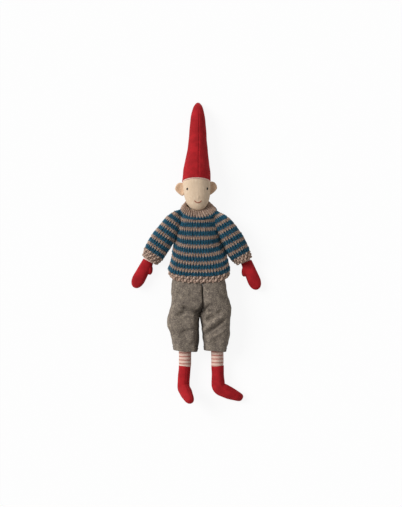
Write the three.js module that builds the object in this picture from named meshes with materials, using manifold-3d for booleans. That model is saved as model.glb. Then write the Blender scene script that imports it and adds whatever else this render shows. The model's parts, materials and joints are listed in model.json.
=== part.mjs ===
// A stuffed pixie doll in a pointed hat, knitted jumper, knee trousers, mittens and boots, on its back.
// Millimetres and degrees. +Y runs up the doll to the tip of the hat, +X is to the right as one looks at
// its front, and +Z comes out of its front. The origin is on the flat of the jumper's back, on the surface
// that the doll lies on. Left and right are as seen from the front.
import * as THREE from 'three';
import { mergeVertices } from 'three/addons/utils/BufferGeometryUtils.js';
import Module from 'manifold-3d';

const wasm = await Module();
wasm.setup();

// Fits and cloths
const clearance = 0.3;
const flatDepth = 0.5;
const knitThickness = 2.2;
const ribThickness = 2.8;
const linenThickness = 1.2;
const trouserCloth = 1.5;
const waistbandThickness = 2.5;
const elasticThickness = 0.9;
const hatCloth = 1.6;
const redCloth = 1.3;

// Torso: heights are along Y from the origin, and depths along Z
const chestDepth = 39.4;
const waistDepth = 31.6;
const shoulderWidth = 60;
const waistWidth = 68;
const torsoHipWidth = 71;
const torsoLowY = -53;
const waistY = -26;
const ribsY = -8;
const chestY = 15;
const shoulderY = 45;
const neckRadius = 9.5;
const neckTopY = 73;
const neckLean = -4;
const leanStartY = -20;
const leanEndY = 65;

// Jumper
const hemY = -43.9;
const hemBandHeight = 9.2;
const hemDip = -9.7;
const hemLift = -4;
const sweaterHemWidth = 100;
const underarmWidth = 85;
const yokeWidth = 79;
const neckOpeningWidth = 46.5;
const neckOpeningDepth = 43;
const neckOpeningY = 66;
const neckDip = -8;
const neckbandHeight = 7.2;
const neckbandDraw = 1;
const bellyY = -16;
const armpitY = 33;
const yokeY = 56;
const yokeRounding = 5;
const hemFullness = 0.7;

// Head
const chinY = 64.7;
const headWidth = 45.4;
const headDepth = 44;
const faceSeamX = -1.8;
const hatEdgeY = 111.3;
const hatEdgeRise = 7.3;
const crownHeight = 34;
const crownRounding = 9;
const noseWidth = 4.6;
const noseLength = 9;
const noseHeight = 2.4;
const noseY = 85;
const eyeSpacing = 32.5;
const eyeMidX = -2.8;
const eyeY = 99;
const eyeWidth = 1.9;
const eyeHeight = 3;
const eyeThickness = 1;
const mouthWidth = 11.4;
const mouthY = 77.6;
const mouthRise = 2.7;
const mouthThread = 0.9;
const earWidth = 17;
const earHeight = 21;
const earThickness = 6.4;
const earTuck = 6.6;
const leftEarY = 98.7;
const rightEarY = 100.6;
const earLean = 7;
const earCupWidth = 10.5;
const earCupHeight = 13.9;
const earCupDepth = 2.2;

// Hat
const hatLength = 130;
const hatBaseWidth = 45;
const hatTipLift = 3.4;
const hatTipX = -1.8;
const hatEdgeHeight = 1.3;

// Arms: lengths are along the arm from its pivot at the shoulder
const shoulderSpan = 78.2;
const shoulderMidX = -2.5;
const leftArmAngle = 33;
const rightArmAngle = 29.5;
const armLowest = -5;
const armHighest = 80;
const shoulderZ = 21;
const sleeveRadius = 16.5;
const sleeveBelly = 35;
const sleeveEndWidth = 30.6;
const sleeveEndDepth = 28;
const armLength = 78.2;
const armShowing = 1.7;
const cuffLength = 11;
const cuffDraw = 1.1;
const sleeveLength = armLength - cuffLength - armShowing;
const upperArmWidth = 21;
const wristWidth = 18.4;
const wristDepth = 16;
const mittenLength = 47.5;
const mittenWidth = 20;
const leftHandTurn = -5;
const rightHandTurn = -7;
const thumbLength = 17;
const thumbWidth = 11.5;
const thumbDepth = 11;
const thumbAlong = 12;
const thumbOut = 8.2;
const thumbTurn = 17;

// Hips, trousers and legs
const bandDrop = 2.7;
const bandHeight = 8.5;
const seatOverlap = 12;
const seamX = 1;
const hipY = -76;
const hipZ = 19;
const hipRadius = 19.5;
const topCorner = 2.2;
const trouserHalfWidth = 46;
const trouserMidReach = 51.5;
const trouserHemReach = 43;
const trouserHemInner = 6;
const kneeInner = 2;
const crotchY = -106.5;
const kneeY = -120;
const trouserHemY = -164;
const trouserHemDepth = 33;
const trouserHemBand = 6.5;
const hemFold = 0.5;
const trouserFullness = 0.66;
const leftAnkleX = -22.8;
const rightAnkleX = 30;
const thighWidth = 34;
const thighCorner = 3;
const stockingWidth = 20.2;
const stockingTopY = -150;
const bootTopY = -190.2;
const bootShaft = 29;
const ankleWidth = 21.5;
const ankleBend = 10;
const footLength = 36;
const toeWidth = 11.5;
const bootDepth = 20;
const toeDepth = 12;
const rightFootAngle = 64;
const leftFootAngle = 66;
const leftFootRoll = 76;

// How finely each kind of form is cut into flats
const roundSides = 14;
const hiddenSides = 10;
const neckSides = 14;
const bootSides = 10;
const arcStep = 25;
const domeSteps = 3;
const bendSteps = 3;
const past = 12;
const slab = 400;

// Materials
const finish = (color, roughness) => new THREE.MeshStandardMaterial({ color, roughness, metalness: 0 });
const looks = {
  redFelt: finish(0x8e2124, 0.95),
  linen: finish(0xbea890, 0.9),
  paleCloth: finish(0xe0bdb0, 0.9),
  blueKnit: finish(0x1d4e66, 0.95),
  beigeKnit: finish(0x96806f, 0.95),
  tweed: finish(0x635b53, 0.95),
  stocking: finish(0xdfc0b2, 0.9),
  thread: finish(0x2a2522, 0.8),
  mouthThread: finish(0x9a4634, 0.8),
  elastic: finish(0xd9d4cb, 0.7),
  filling: finish(0xefeae0, 1),
};

// Solids from geometry and back
function toSolid(geometry) {
  const bare = geometry.clone();
  for (const name of Object.keys(bare.attributes)) {
    if (name !== 'position') bare.deleteAttribute(name);
  }
  const merged = mergeVertices(bare, 1e-4);
  return new wasm.Manifold(new wasm.Mesh({
    numProp: 3,
    vertProperties: new Float32Array(merged.attributes.position.array),
    triVerts: new Uint32Array(merged.index.array),
  }));
}

function toGeometry(solid) {
  const mesh = solid.getMesh();
  const geometry = new THREE.BufferGeometry();
  geometry.setAttribute('position', new THREE.BufferAttribute(new Float32Array(mesh.vertProperties), 3));
  geometry.setIndex(new THREE.BufferAttribute(new Uint32Array(mesh.triVerts), 1));
  return geometry;
}

function moved(geometry, position, rotation = new THREE.Euler()) {
  const turn = new THREE.Quaternion().setFromEuler(rotation);
  return geometry.applyMatrix4(new THREE.Matrix4().compose(position, turn, new THREE.Vector3(1, 1, 1)));
}

function box(lowX, lowY, lowZ, highX, highY, highZ) {
  const size = new THREE.BoxGeometry(highX - lowX, highY - lowY, highZ - lowZ);
  const middle = new THREE.Vector3((lowX + highX) / 2, (lowY + highY) / 2, (lowZ + highZ) / 2);
  return toSolid(moved(size, middle));
}

function ellipsoid(center, width, height, depth, turn = 0, around = 12, down = 8) {
  const ball = new THREE.SphereGeometry(0.5, around, down);
  ball.scale(width, height, depth);
  return toSolid(moved(ball, center, new THREE.Euler(0, 0, turn)));
}

// A closed skin over a pile of rings with the same number of points
function pile(rings) {
  const sides = rings[0].length;
  const points = [...rings.flat()];
  const faces = [];
  for (let r = 0; r < rings.length - 1; r += 1) {
    for (let i = 0; i < sides; i += 1) {
      const a = r * sides + i;
      const b = r * sides + ((i + 1) % sides);
      faces.push(a, b, b + sides, a, b + sides, a + sides);
    }
  }
  for (const [end, flip] of [[0, true], [rings.length - 1, false]]) {
    const middle = new THREE.Vector3();
    for (const p of rings[end]) middle.add(p);
    points.push(middle.divideScalar(sides));
    for (let i = 0; i < sides; i += 1) {
      const a = end * sides + i;
      const b = end * sides + ((i + 1) % sides);
      if (flip) faces.push(points.length - 1, b, a);
      else faces.push(points.length - 1, a, b);
    }
  }
  let volume = 0;
  for (let f = 0; f < faces.length; f += 3) {
    const [a, b, c] = [points[faces[f]], points[faces[f + 1]], points[faces[f + 2]]];
    volume += a.dot(new THREE.Vector3().crossVectors(b, c));
  }
  if (volume < 0) {
    for (let f = 0; f < faces.length; f += 3) [faces[f], faces[f + 1]] = [faces[f + 1], faces[f]];
  }
  const geometry = new THREE.BufferGeometry().setFromPoints(points);
  geometry.setIndex(faces);
  return geometry;
}

// One row of a form along Y: its middle x, its back and front z, its half width, and how far the front
// (dip) and the back (lift) of the row stand up or down from its sides. A full row has squarer corners.
function row(y, x, back, front, half, dip = 0, lift = 0) {
  return { y, x, z: (back + front) / 2, d: (front - back) / 2, w: half, dip, lift };
}

const bulge = (share, full = 1) => Math.sign(share) * Math.abs(share) ** full;

function ring(place, sides) {
  const points = [];
  for (let i = 0; i < sides; i += 1) {
    const angle = (2 * Math.PI * i) / sides;
    const front = Math.cos(angle);
    const rise = front > 0 ? place.dip * front : -place.lift * front;
    const x = place.x + place.w * bulge(Math.sin(angle), place.full);
    points.push(new THREE.Vector3(x, place.y + rise, place.z + place.d * bulge(front, place.full)));
  }
  return points;
}

const loft = (rows, sides = roundSides) => toSolid(pile(rows.map((place) => ring(place, sides))));

// The same form with its skin moved inwards, at its ends too; rows that would vanish are left out
function inset(rows, by) {
  const kept = rows.filter((r) => Math.min(r.w, r.d) - by > 1)
    .map((r) => ({ ...r, w: r.w - by, d: r.d - by }));
  const way = Math.sign(rows[rows.length - 1].y - rows[0].y);
  kept[0].y += way * by;
  kept[kept.length - 1].y -= way * by;
  return kept;
}

// The same form carried on past its first or last row, for openings
function through(rows, atStart, atEnd) {
  const first = rows[0];
  const last = rows[rows.length - 1];
  const way = Math.sign(last.y - first.y);
  const longer = [...rows];
  if (atStart) longer.unshift({ ...first, y: first.y - way * past });
  if (atEnd) longer.push({ ...last, y: last.y + way * past });
  return longer;
}

// A tube of cloth open at one or both ends
function clothTube(rows, cloth, openStart, openEnd, sides = roundSides, insideSides = sides) {
  return loft(rows, sides).subtract(loft(through(inset(rows, cloth), openStart, openEnd), insideSides));
}

const ease = (t) => {
  const part = Math.min(Math.max(t, 0), 1);
  return part * part * (3 - 2 * part);
};
const mix = (a, b, t) => a + (b - a) * t;
const radians = (angle) => THREE.MathUtils.degToRad(angle);
const leanX = (y) => neckLean * ease((y - leanStartY) / (leanEndY - leanStartY));

// The corner radius of a polygon whose flats just clear a circle
const aroundCircle = (radius, sides) => radius / Math.cos(Math.PI / sides);

const floor = box(-slab, -slab, -slab, slab, slab, 0);
const onFloor = (solid) => solid.subtract(floor);
const leftOf = (x) => box(-slab, -slab, -slab, x - clearance / 2, slab, slab);
const rightOf = (x) => box(x + clearance / 2, -slab, -slab, slab, slab, slab);
const inFrontOf = (z) => box(-slab, -slab, z + clearance / 2, slab, slab, slab);
const behind = (z) => box(-slab, -slab, -slab, slab, slab, z - clearance / 2);

// The space that a round-topped limb sweeps about its pivot, drawn flat and then drawn out along the pivot.
// The limb lies along directions from..to, counted anticlockwise in the drawing.
function sweptOutline(radius, from, to) {
  const reach = 150;
  const shape = new THREE.Shape();
  const arcSteps = Math.ceil((2 * Math.PI - (to - from) - Math.PI) / radians(arcStep));
  const at = (angle, length, side) => [
    length * Math.cos(angle) + side * Math.sin(angle),
    length * Math.sin(angle) - side * Math.cos(angle),
  ];
  shape.moveTo(...at(from, reach, radius));
  const start = from - Math.PI / 2;
  const end = to + Math.PI / 2 - 2 * Math.PI;
  const outside = radius / Math.cos((start - end) / (2 * arcSteps));
  for (let i = 0; i <= arcSteps; i += 1) {
    const angle = mix(start, end, i / arcSteps);
    shape.lineTo(outside * Math.cos(angle), outside * Math.sin(angle));
  }
  shape.lineTo(...at(to, reach, -radius));
  for (let i = 3; i >= 1; i -= 1) shape.lineTo(...at(mix(from, to, i / 4), reach * 1.2, 0));
  return shape;
}

function armSpace(side, restAngle, by) {
  const low = radians(-90 + side * (restAngle + armLowest));
  const high = radians(-90 + side * (restAngle + armHighest));
  const shape = sweptOutline(sleeveRadius + clearance + by, Math.min(low, high), Math.max(low, high));
  const block = new THREE.ExtrudeGeometry(shape, { depth: slab, bevelEnabled: false });
  return toSolid(moved(block, new THREE.Vector3(shoulderX(side), shoulderY, -slab / 2)));
}

function legSpace(by) {
  const shape = sweptOutline(hipRadius + clearance + by, Math.PI / 2, Math.PI);
  const block = new THREE.ExtrudeGeometry(shape, { depth: slab, bevelEnabled: false });
  const turn = new THREE.Matrix4().makeBasis(
    new THREE.Vector3(0, 1, 0), new THREE.Vector3(0, 0, 1), new THREE.Vector3(1, 0, 0));
  block.applyMatrix4(turn);
  return toSolid(moved(block, new THREE.Vector3(-slab / 2, hipY, hipZ)));
}

const shoulderX = (side) => shoulderMidX + side * (shoulderSpan / 2);
const armAngle = (side) => (side < 0 ? leftArmAngle : rightArmAngle);
const armSpaces = (by) => armSpace(-1, leftArmAngle, by).add(armSpace(1, rightArmAngle, by));

// Heights of the layers that lie on each other, counted up from the floor
const sweaterBack = -flatDepth;
const insideSweater = sweaterBack + knitThickness + clearance;
const chestFront = insideSweater + chestDepth;
const sweaterFront = chestFront + clearance + knitThickness;
const waistBack = insideSweater + waistbandThickness + clearance;
const waistFront = waistBack + waistDepth;
const bandFront = waistFront + clearance + waistbandThickness;
const hemFront = bandFront + clearance + knitThickness;
const headZ = headDepth / 2 - flatDepth;

// Torso: a linen skin round its filling, with a neck that the head turns on
const hipRoundness = 8;
const shoulderSlope = 15;
const neckSeamRise = 18;
const torsoRows = [
  row(torsoLowY, 0, waistBack + hipRoundness / 2, waistFront - hipRoundness / 2,
    torsoHipWidth / 2 - hipRoundness),
  row(torsoLowY + hipRoundness / 2, 0, waistBack, waistFront, torsoHipWidth / 2),
  row(waistY, 0, waistBack, waistFront, waistWidth / 2),
  row(ribsY, leanX(ribsY), waistBack, waistFront, waistWidth / 2),
  row(chestY, leanX(chestY), insideSweater, chestFront, (waistWidth + shoulderWidth) / 4),
  row(shoulderY, leanX(shoulderY), insideSweater, chestFront, shoulderWidth / 2),
  row(shoulderY + shoulderSlope / 2, leanX(shoulderY), insideSweater + 1, chestFront - 2,
    shoulderWidth / 2 - 5),
  row(shoulderY + shoulderSlope, neckLean, headZ - neckRadius - 3, headZ + neckRadius + 3, neckRadius + 5),
  row(shoulderY + neckSeamRise, neckLean, headZ - neckRadius, headZ + neckRadius, neckRadius),
  row(neckTopY, neckLean, headZ - neckRadius, headZ + neckRadius, neckRadius),
];

function torsoForm(by, openNeck) {
  const rows = inset(torsoRows, by);
  return loft(openNeck ? through(rows, false, true) : rows, hiddenSides)
    .subtract(armSpaces(by))
    .subtract(legSpace(by));
}

const torsoSkin = torsoForm(0, false).subtract(torsoForm(linenThickness, true));
const torsoFilling = torsoForm(linenThickness + clearance, false);

// Jumper
const hemHalf = sweaterHemWidth / 2;
const underarmHalf = underarmWidth / 2;
const yokeHalf = yokeWidth / 2;
const neckHalf = neckOpeningWidth / 2;
const neckBack = headZ - neckOpeningDepth / 2;
const neckFront = headZ + neckOpeningDepth / 2;
const bellyFront = (hemFront + sweaterFront) / 2;
const fullness = (rows, shares) => rows.map((r, i) => ({ ...r, full: shares[i] ?? 1 }));
const sweaterRows = fullness([
  row(hemY + hemBandHeight + clearance, 0, sweaterBack, hemFront, hemHalf, hemDip, hemLift),
  row(bellyY, leanX(bellyY), sweaterBack, bellyFront, mix(hemHalf, underarmHalf, 0.55), hemDip * 0.6,
    hemLift / 2),
  row(0, leanX(0), sweaterBack, sweaterFront, underarmHalf + 1, hemDip * 0.4, 0),
  row(chestY, leanX(chestY), sweaterBack, sweaterFront, underarmHalf, hemDip * 0.3),
  row(armpitY, leanX(armpitY), sweaterBack, sweaterFront, (underarmHalf + yokeHalf) / 2, hemDip * 0.3),
  row(shoulderY, leanX(shoulderY), sweaterBack, sweaterFront, yokeHalf, neckDip / 2, 1),
  row(yokeY, leanX(yokeY), sweaterBack, sweaterFront - 0.6, yokeHalf - yokeRounding, neckDip * 0.6,
    -neckDip / 2),
  row(neckOpeningY - yokeRounding, neckLean, sweaterBack + 0.4, sweaterFront - 1, neckHalf + yokeRounding,
    neckDip * 0.9, -neckDip * 0.9),
  row(neckOpeningY, neckLean, neckBack, neckFront, neckHalf, neckDip, -neckDip),
], [hemFullness, 0.8, 0.9]);

// The neckband leans more towards its top edge, and draws in a little there
const neckbandLow = neckOpeningY + clearance;
const neckbandRows = [0, 0.5, 1].map((up) => {
  const draw = up === 1 ? neckbandDraw : 0;
  return row(neckbandLow + neckbandHeight * up, neckLean, neckBack + draw, neckFront - draw,
    neckHalf - draw / 2, neckDip - neckbandDraw * up, neckbandDraw * 2 * up - neckDip);
});

const hemRows = fullness([hemY, hemY + hemBandHeight].map((y) => (
  row(y, 0, sweaterBack, hemFront, hemHalf, hemDip, hemLift))), [hemFullness, hemFullness]);
const hemBand = onFloor(clothTube(hemRows, knitThickness, true, true));

// Head: linen panels over the filling, a crown that goes up into the hat, and a socket for the neck
const headTaper = [[0, 0.2], [0.04, 0.4], [0.12, 0.58], [0.25, 0.735], [0.39, 0.835], [0.56, 0.92],
  [0.78, 0.98], [0.97, 1]];
const headRise = hatEdgeY - chinY;
const headRows = headTaper.map(([up, share]) => {
  const half = (headWidth / 2) * share;
  const deep = (headDepth / 2) * share;
  return row(chinY + headRise * up, neckLean, headZ - deep, headZ + deep, half);
});
const headTopY = hatEdgeY + 2 * hatEdgeRise;
headRows.push(row(headTopY, neckLean, headZ - headDepth / 2, headZ + headDepth / 2, headWidth / 2));

// The room that the head turns in, which the neckband and the jumper leave free
const headRoom = loft(headRows.map((r) => {
  const radius = aroundCircle(Math.max(r.w, r.d) + clearance, roundSides);
  return { ...r, w: radius, d: radius };
}));
const neckband = onFloor(clothTube(neckbandRows, ribThickness, true, true)).subtract(headRoom);
const jumperCloth = clothTube(sweaterRows, knitThickness, true, true).subtract(armSpaces(0));
const sweater = onFloor(jumperCloth).subtract(headRoom);
const sweaterHalves = [sweater.intersect(inFrontOf(headZ)), sweater.intersect(behind(headZ))];

const hatTaper = [[0, 1], [0.13, 0.95], [0.22, 0.87], [0.33, 0.76], [0.45, 0.685], [0.6, 0.61], [0.75, 0.54],
  [0.88, 0.42], [0.95, 0.28], [0.985, 0.15], [1, 0.06]];
const hatRows = hatTaper.map(([up, share]) => {
  const half = (hatBaseWidth / 2) * share;
  const back = mix(-flatDepth, hatTipLift, ease((up - 0.3) / 0.7));
  const rise = hatEdgeRise * (1 - ease(up * 2.5));
  const x = mix(neckLean, hatTipX, ease(up * 1.6));
  return row(hatEdgeY + hatLength * up, x, back, back + 2 * half, half, rise, -rise);
});
const hatLow = hatRows[0];
const narrower = (place, share, y) => ({ ...place, y, w: place.w * share, d: place.d * share });
const crownRows = (by) => {
  const rows = inset(hatRows, hatCloth + clearance + by).filter((r) => r.y < hatEdgeY + crownHeight);
  const last = { ...rows[rows.length - 1], dip: 0, lift: 0 };
  rows.push(narrower(last, 0.75, last.y + crownRounding * 0.67));
  rows.push(narrower(last, 0.35, last.y + crownRounding));
  rows.unshift(narrower(rows[0], 0.85, hatEdgeY - past));
  return rows;
};
// All that lies above the slanting plane of the hat's rim
const wide = 2;
const rimPlane = narrower(hatLow, wide, hatLow.y - hatEdgeHeight - 2 * clearance);
const hatCut = (by) => loft([
  { ...rimPlane, y: rimPlane.y - by, dip: hatLow.dip * wide, lift: hatLow.lift * wide },
  { ...rimPlane, y: hatEdgeY + hatLength, dip: 0, lift: 0 },
]);
const noseMiddle = new THREE.Vector3(faceSeamX, noseY, faceZ(faceSeamX, noseY));
const nose = ellipsoid(noseMiddle, noseWidth, noseLength, 2 * noseHeight);

function neckRoom(by) {
  const radius = aroundCircle(neckRadius + by, neckSides);
  return loft([chinY - past, neckTopY + by].map((y) => (
    row(y, neckLean, headZ - radius, headZ + radius, radius))), neckSides);
}

function faceZ(x, y) {
  const k = Math.max(headRows.findIndex((r) => r.y > y), 1);
  const t = (y - headRows[k - 1].y) / (headRows[k].y - headRows[k - 1].y);
  const half = mix(headRows[k - 1].w, headRows[k].w, t);
  const deep = mix(headRows[k - 1].d, headRows[k].d, t);
  return headZ + deep * Math.sqrt(Math.max(1 - ((x - neckLean) / half) ** 2, 0));
}

const headShape = (grow) => loft(headRows.map((r) => ({ ...r, w: r.w + grow, d: r.d + grow })));

function headForm(by) {
  const face = loft(inset(headRows, by), by > 0 ? hiddenSides : roundSides).subtract(hatCut(by));
  return face.add(loft(crownRows(by), hiddenSides));
}

const headShell = headForm(0).add(nose).subtract(headForm(linenThickness));
const headSkin = onFloor(headShell.subtract(neckRoom(clearance)));
const headFilling = headForm(linenThickness + clearance).subtract(neckRoom(2 * clearance + linenThickness));

// Each ear is a thick lens with a cup pressed into its front, tucked into the side of the head
function ear(side, y) {
  const x = neckLean + side * (headWidth / 2 + earWidth / 2 - earTuck);
  const turn = -side * radians(earLean);
  const lobe = ellipsoid(new THREE.Vector3(x, y, headZ), earWidth, earHeight, earThickness, turn, 12, 8);
  const cupThick = 2 * (earCupDepth + clearance);
  const cupZ = headZ + earThickness / 2 + cupThick / 2 - earCupDepth;
  const cupMiddle = new THREE.Vector3(x + side, y, cupZ);
  const cup = ellipsoid(cupMiddle, earCupWidth, earCupHeight, cupThick, turn, 10, 6);
  return lobe.subtract(cup).subtract(headShape(clearance));
}

function eye(side) {
  const x = eyeMidX + side * (eyeSpacing / 2);
  const z = faceZ(x, eyeY);
  const out = new THREE.Vector3((x - neckLean) / headWidth, 0, (z - headZ) / headDepth).normalize();
  const center = new THREE.Vector3(x, eyeY, z).addScaledVector(out, clearance + eyeThickness / 2);
  const knot = new THREE.SphereGeometry(0.5, 8, 5).scale(eyeWidth, eyeHeight, eyeThickness);
  return toSolid(moved(knot, center, new THREE.Euler(0, Math.atan2(out.x, out.z), 0)));
}

function mouthStitch() {
  const points = [-1, -0.5, 0, 0.5, 1].map((t) => {
    const x = faceSeamX + t * (mouthWidth / 2);
    const y = mouthY + mouthRise * t * t;
    return new THREE.Vector3(x, y, faceZ(x, y) + clearance + mouthThread);
  });
  const section = new THREE.Shape();
  for (let i = 0; i < 6; i += 1) {
    const angle = (Math.PI * i) / 3;
    section.lineTo((mouthThread / 2) * Math.cos(angle), (mouthThread / 2) * Math.sin(angle));
  }
  const path = new THREE.CatmullRomCurve3(points);
  return toSolid(new THREE.ExtrudeGeometry(section, { steps: 6, bevelEnabled: false, extrudePath: path }));
}

// Hat: two panels, the pale cloth edge under its rim, and the filling above the crown
const hatSkin = onFloor(clothTube(hatRows, hatCloth, true, false, roundSides, hiddenSides));
const edgeRows = [
  { ...hatLow, y: hatLow.y - clearance - hatEdgeHeight },
  { ...hatLow, y: hatLow.y - clearance },
];
const hatEdge = onFloor(clothTube(edgeRows, hatCloth, true, true));
const crownTop = crownRows(0)[crownRows(0).length - 1].y;
const hatFilling = loft(inset(hatRows, hatCloth + clearance), hiddenSides)
  .intersect(box(-slab, crownTop + clearance, -slab, slab, slab, slab));

// Arms, along -Y from the pivot and level with it at z = 0. Each form is rows of how far along it lies,
// how wide and deep it is, and how much of the droop from the pivot to the floor it has made.
const floorDrop = shoulderZ;
const along = (s, half, depth, drop) => row(-s, 0, drop - depth / 2, drop + depth / 2, half);
const endDrop = sleeveEndDepth / 2 - flatDepth - floorDrop;
const sleeveDepth = 2 * sleeveRadius;

// The round top of a limb, from its flattened end to its full width
function domeRows(radius, steepest, flatShare, roundShare) {
  const rows = [];
  for (let i = 0; i <= domeSteps; i += 1) {
    const angle = mix(radians(steepest), 0, i / domeSteps);
    const depth = 2 * radius * (flatShare + roundShare * Math.cos(angle));
    rows.push(along(-radius * Math.sin(angle), radius * Math.cos(angle), depth, 0));
  }
  return rows;
}

const sleeveRows = [
  ...domeRows(sleeveRadius, 80, 0.62, 0.38),
  ...[[0.305, sleeveBelly - 0.8, sleeveDepth - 0.6], [0.61, sleeveBelly, sleeveDepth - 2],
    [0.84, sleeveBelly - 1.6, sleeveEndDepth + 1], [1, sleeveEndWidth, sleeveEndDepth]]
    .map(([t, width, depth]) => along(sleeveLength * t, width / 2, depth, endDrop * ease(t))),
];
const cuffRows = [
  along(sleeveLength + clearance, sleeveEndWidth / 2, sleeveEndDepth, endDrop),
  along(sleeveLength + cuffLength, sleeveEndWidth / 2 - cuffDraw, sleeveEndDepth - cuffDraw,
    endDrop - cuffDraw / 2),
];
const shoulderBall = sleeveRadius - knitThickness - clearance;
const wristDrop = ribThickness + clearance - flatDepth - floorDrop + wristDepth / 2;
const armRows = [
  ...domeRows(shoulderBall, 75, 0.5, 0.42),
  ...[[0.28, upperArmWidth, upperArmWidth, 0.4], [0.64, upperArmWidth - 0.8, upperArmWidth - 3, 0.86],
    [1, wristWidth, wristDepth, 1]]
    .map(([t, width, depth, droop]) => along(armLength * t, width / 2, depth, wristDrop * droop)),
];

const handZ = (depth) => depth / 2 - flatDepth - floorDrop;
const mittenTaper = [[0, 0.93, 1], [0.22, 0.98, 1], [0.55, 1, 1], [0.78, 0.9, 0.92], [0.92, 0.64, 0.72],
  [1, 0.26, 0.4]];
const mittenRows = (by) => mittenTaper.map(([t, width, share]) => {
  const depth = wristDepth * share;
  return along(mittenLength * t, (mittenWidth / 2) * width - by, depth - 2 * by, handZ(depth));
});

function thumb(side, by) {
  const center = new THREE.Vector3(-side * thumbOut, -thumbAlong, handZ(wristDepth));
  const turn = -side * radians(thumbTurn);
  return ellipsoid(center, thumbWidth - 2 * by, thumbLength - 2 * by, thumbDepth - 2 * by, turn, 8, 6);
}

const handTurn = (side) => (side < 0 ? leftHandTurn : rightHandTurn);

// The hand starts square to the arm, however far it is turned at the wrist
function mittenForm(side, by, open) {
  const rows = mittenRows(by).filter((r) => r.w > 1);
  const hand = loft(through(rows, true, false), by > 0 ? hiddenSides : 12).add(thumb(side, by));
  const block = new THREE.BoxGeometry(slab, slab, slab).translate(0, slab / 2, 0);
  const square = new THREE.Euler(0, 0, -side * radians(handTurn(side)));
  const armSide = toSolid(moved(block, new THREE.Vector3(), square));
  return open ? hand : hand.subtract(armSide);
}

// The arm fills the sleeve's round top, with the clearance between them
function armForm(by, open) {
  const room = inset(sleeveRows, knitThickness + clearance + by);
  room.push({ ...room[room.length - 1], y: -armLength - 2 * past });
  const rows = inset(armRows, by);
  return loft(open ? through(rows, false, true) : rows, hiddenSides).intersect(loft(room, hiddenSides));
}

function arm(side) {
  const floorHere = box(-slab, -slab, -slab, slab, slab, -floorDrop);
  const sleeve = clothTube(sleeveRows, knitThickness, false, true, roundSides, hiddenSides);
  const pieces = {
    sleeve: [sleeve.subtract(floorHere), looks.blueKnit],
    cuff: [clothTube(cuffRows, ribThickness, true, true).subtract(floorHere), looks.beigeKnit],
    arm_skin: [armForm(0, false).subtract(armForm(linenThickness, true)), looks.paleCloth],
    arm_filling: [armForm(linenThickness + clearance, false), looks.filling],
  };
  const skin = mittenForm(side, 0, false).subtract(mittenForm(side, redCloth, true)).subtract(floorHere);
  const hand = {
    mitten: [skin, looks.redFelt],
    mitten_filling: [mittenForm(side, redCloth + clearance, false), looks.filling],
  };
  return { pieces, hand };
}

// Trousers: a seat in two halves, a leg on each hip and a turned hem
const seatBack = insideSweater;
const seatHalf = torsoHipWidth / 2 + 2 * clearance + waistbandThickness;
const seatFront = hipZ + hipRadius;
const bandLow = waistY - bandDrop;
const seatRows = fullness([
  row(hipY + seatOverlap, seamX / 2, -flatDepth, seatFront, trouserHalfWidth),
  row(hipY + seatOverlap * 1.5, seamX / 2, 1, seatFront, trouserHalfWidth - 0.6),
  row(hemY + hemLift - 2, 0.2, seatBack, seatFront - 0.4, trouserHalfWidth - 1.4),
  row(bandLow - clearance, 0, seatBack, bandFront, seatHalf),
], [trouserFullness, trouserFullness, 0.76]);
const waistCloth = clothTube(seatRows, trouserCloth, true, true).subtract(legSpace(0));
const seat = onFloor(waistCloth);
const seatHalves = [seat.intersect(leftOf(seamX)), seat.intersect(rightOf(seamX))];

const bandHigh = bandLow + bandHeight;
const bandRows = [bandLow, bandHigh].map((y) => row(y, 0, seatBack, bandFront, seatHalf));
// The waistband is one fold of cloth, open below, and the elastic lies in the fold
const foldTop = bandHigh - waistbandThickness / 2;
const foldWall = (waistbandThickness - elasticThickness) / 2;
const foldRows = (low, high) => [{ ...bandRows[0], y: low }, { ...bandRows[1], y: high }];
const elasticRing = (low, high, play) => loft(inset(foldRows(low, high), foldWall - play))
  .subtract(loft(through(inset(foldRows(low, high), foldWall + elasticThickness + play), true, true)));
const waistbandSolid = clothTube(bandRows, waistbandThickness, true, true)
  .subtract(elasticRing(bandLow - past, foldTop, clearance));
const waistElastic = elasticRing(bandLow + clearance, foldTop - clearance, 0);

// One trouser leg in rows: where its inner and outer edges lie from the seam, and its back and front
function legRow(side, y, inner, outer, back, front) {
  const x = seamX + side * ((inner + outer) / 2);
  return { ...row(y, x, back, front, (outer - inner) / 2), full: trouserFullness };
}
const seamGap = clearance / 2;
const trouserTopHalf = trouserHalfWidth - 0.5;
function trouserLegRows(side) {
  const top = [];
  for (let i = 0; i <= domeSteps; i += 1) {
    const angle = mix(radians(78), 0, i / domeSteps);
    const deep = hipRadius * Math.cos(angle);
    const corner = topCorner * Math.sin(angle);
    top.push(legRow(side, hipY + hipRadius * Math.sin(angle), seamGap, trouserTopHalf - corner,
      hipZ - deep, hipZ + deep));
  }
  const bag = (y, inner, outer, front) => legRow(side, y, inner, outer, -flatDepth, front);
  return [
    ...top,
    bag(crotchY + 10, seamGap, mix(trouserHalfWidth, trouserMidReach, 0.7), seatFront),
    bag(crotchY, seamGap + 0.4, trouserMidReach - 0.4, seatFront),
    bag(kneeY, kneeInner, trouserMidReach, seatFront),
    bag(mix(kneeY, trouserHemY, 0.41), kneeInner + 0.6, mix(trouserMidReach, trouserHemReach, 0.47),
      seatFront - 2),
    bag(mix(kneeY, trouserHemY, 0.64), mix(kneeInner, trouserHemInner, 0.6),
      mix(trouserMidReach, trouserHemReach, 0.76), mix(trouserHemDepth, seatFront, 0.3)),
    bag(trouserHemY + trouserHemBand + clearance, trouserHemInner - hemFold, trouserHemReach + hemFold,
      trouserHemDepth + hemFold),
  ];
}

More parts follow.
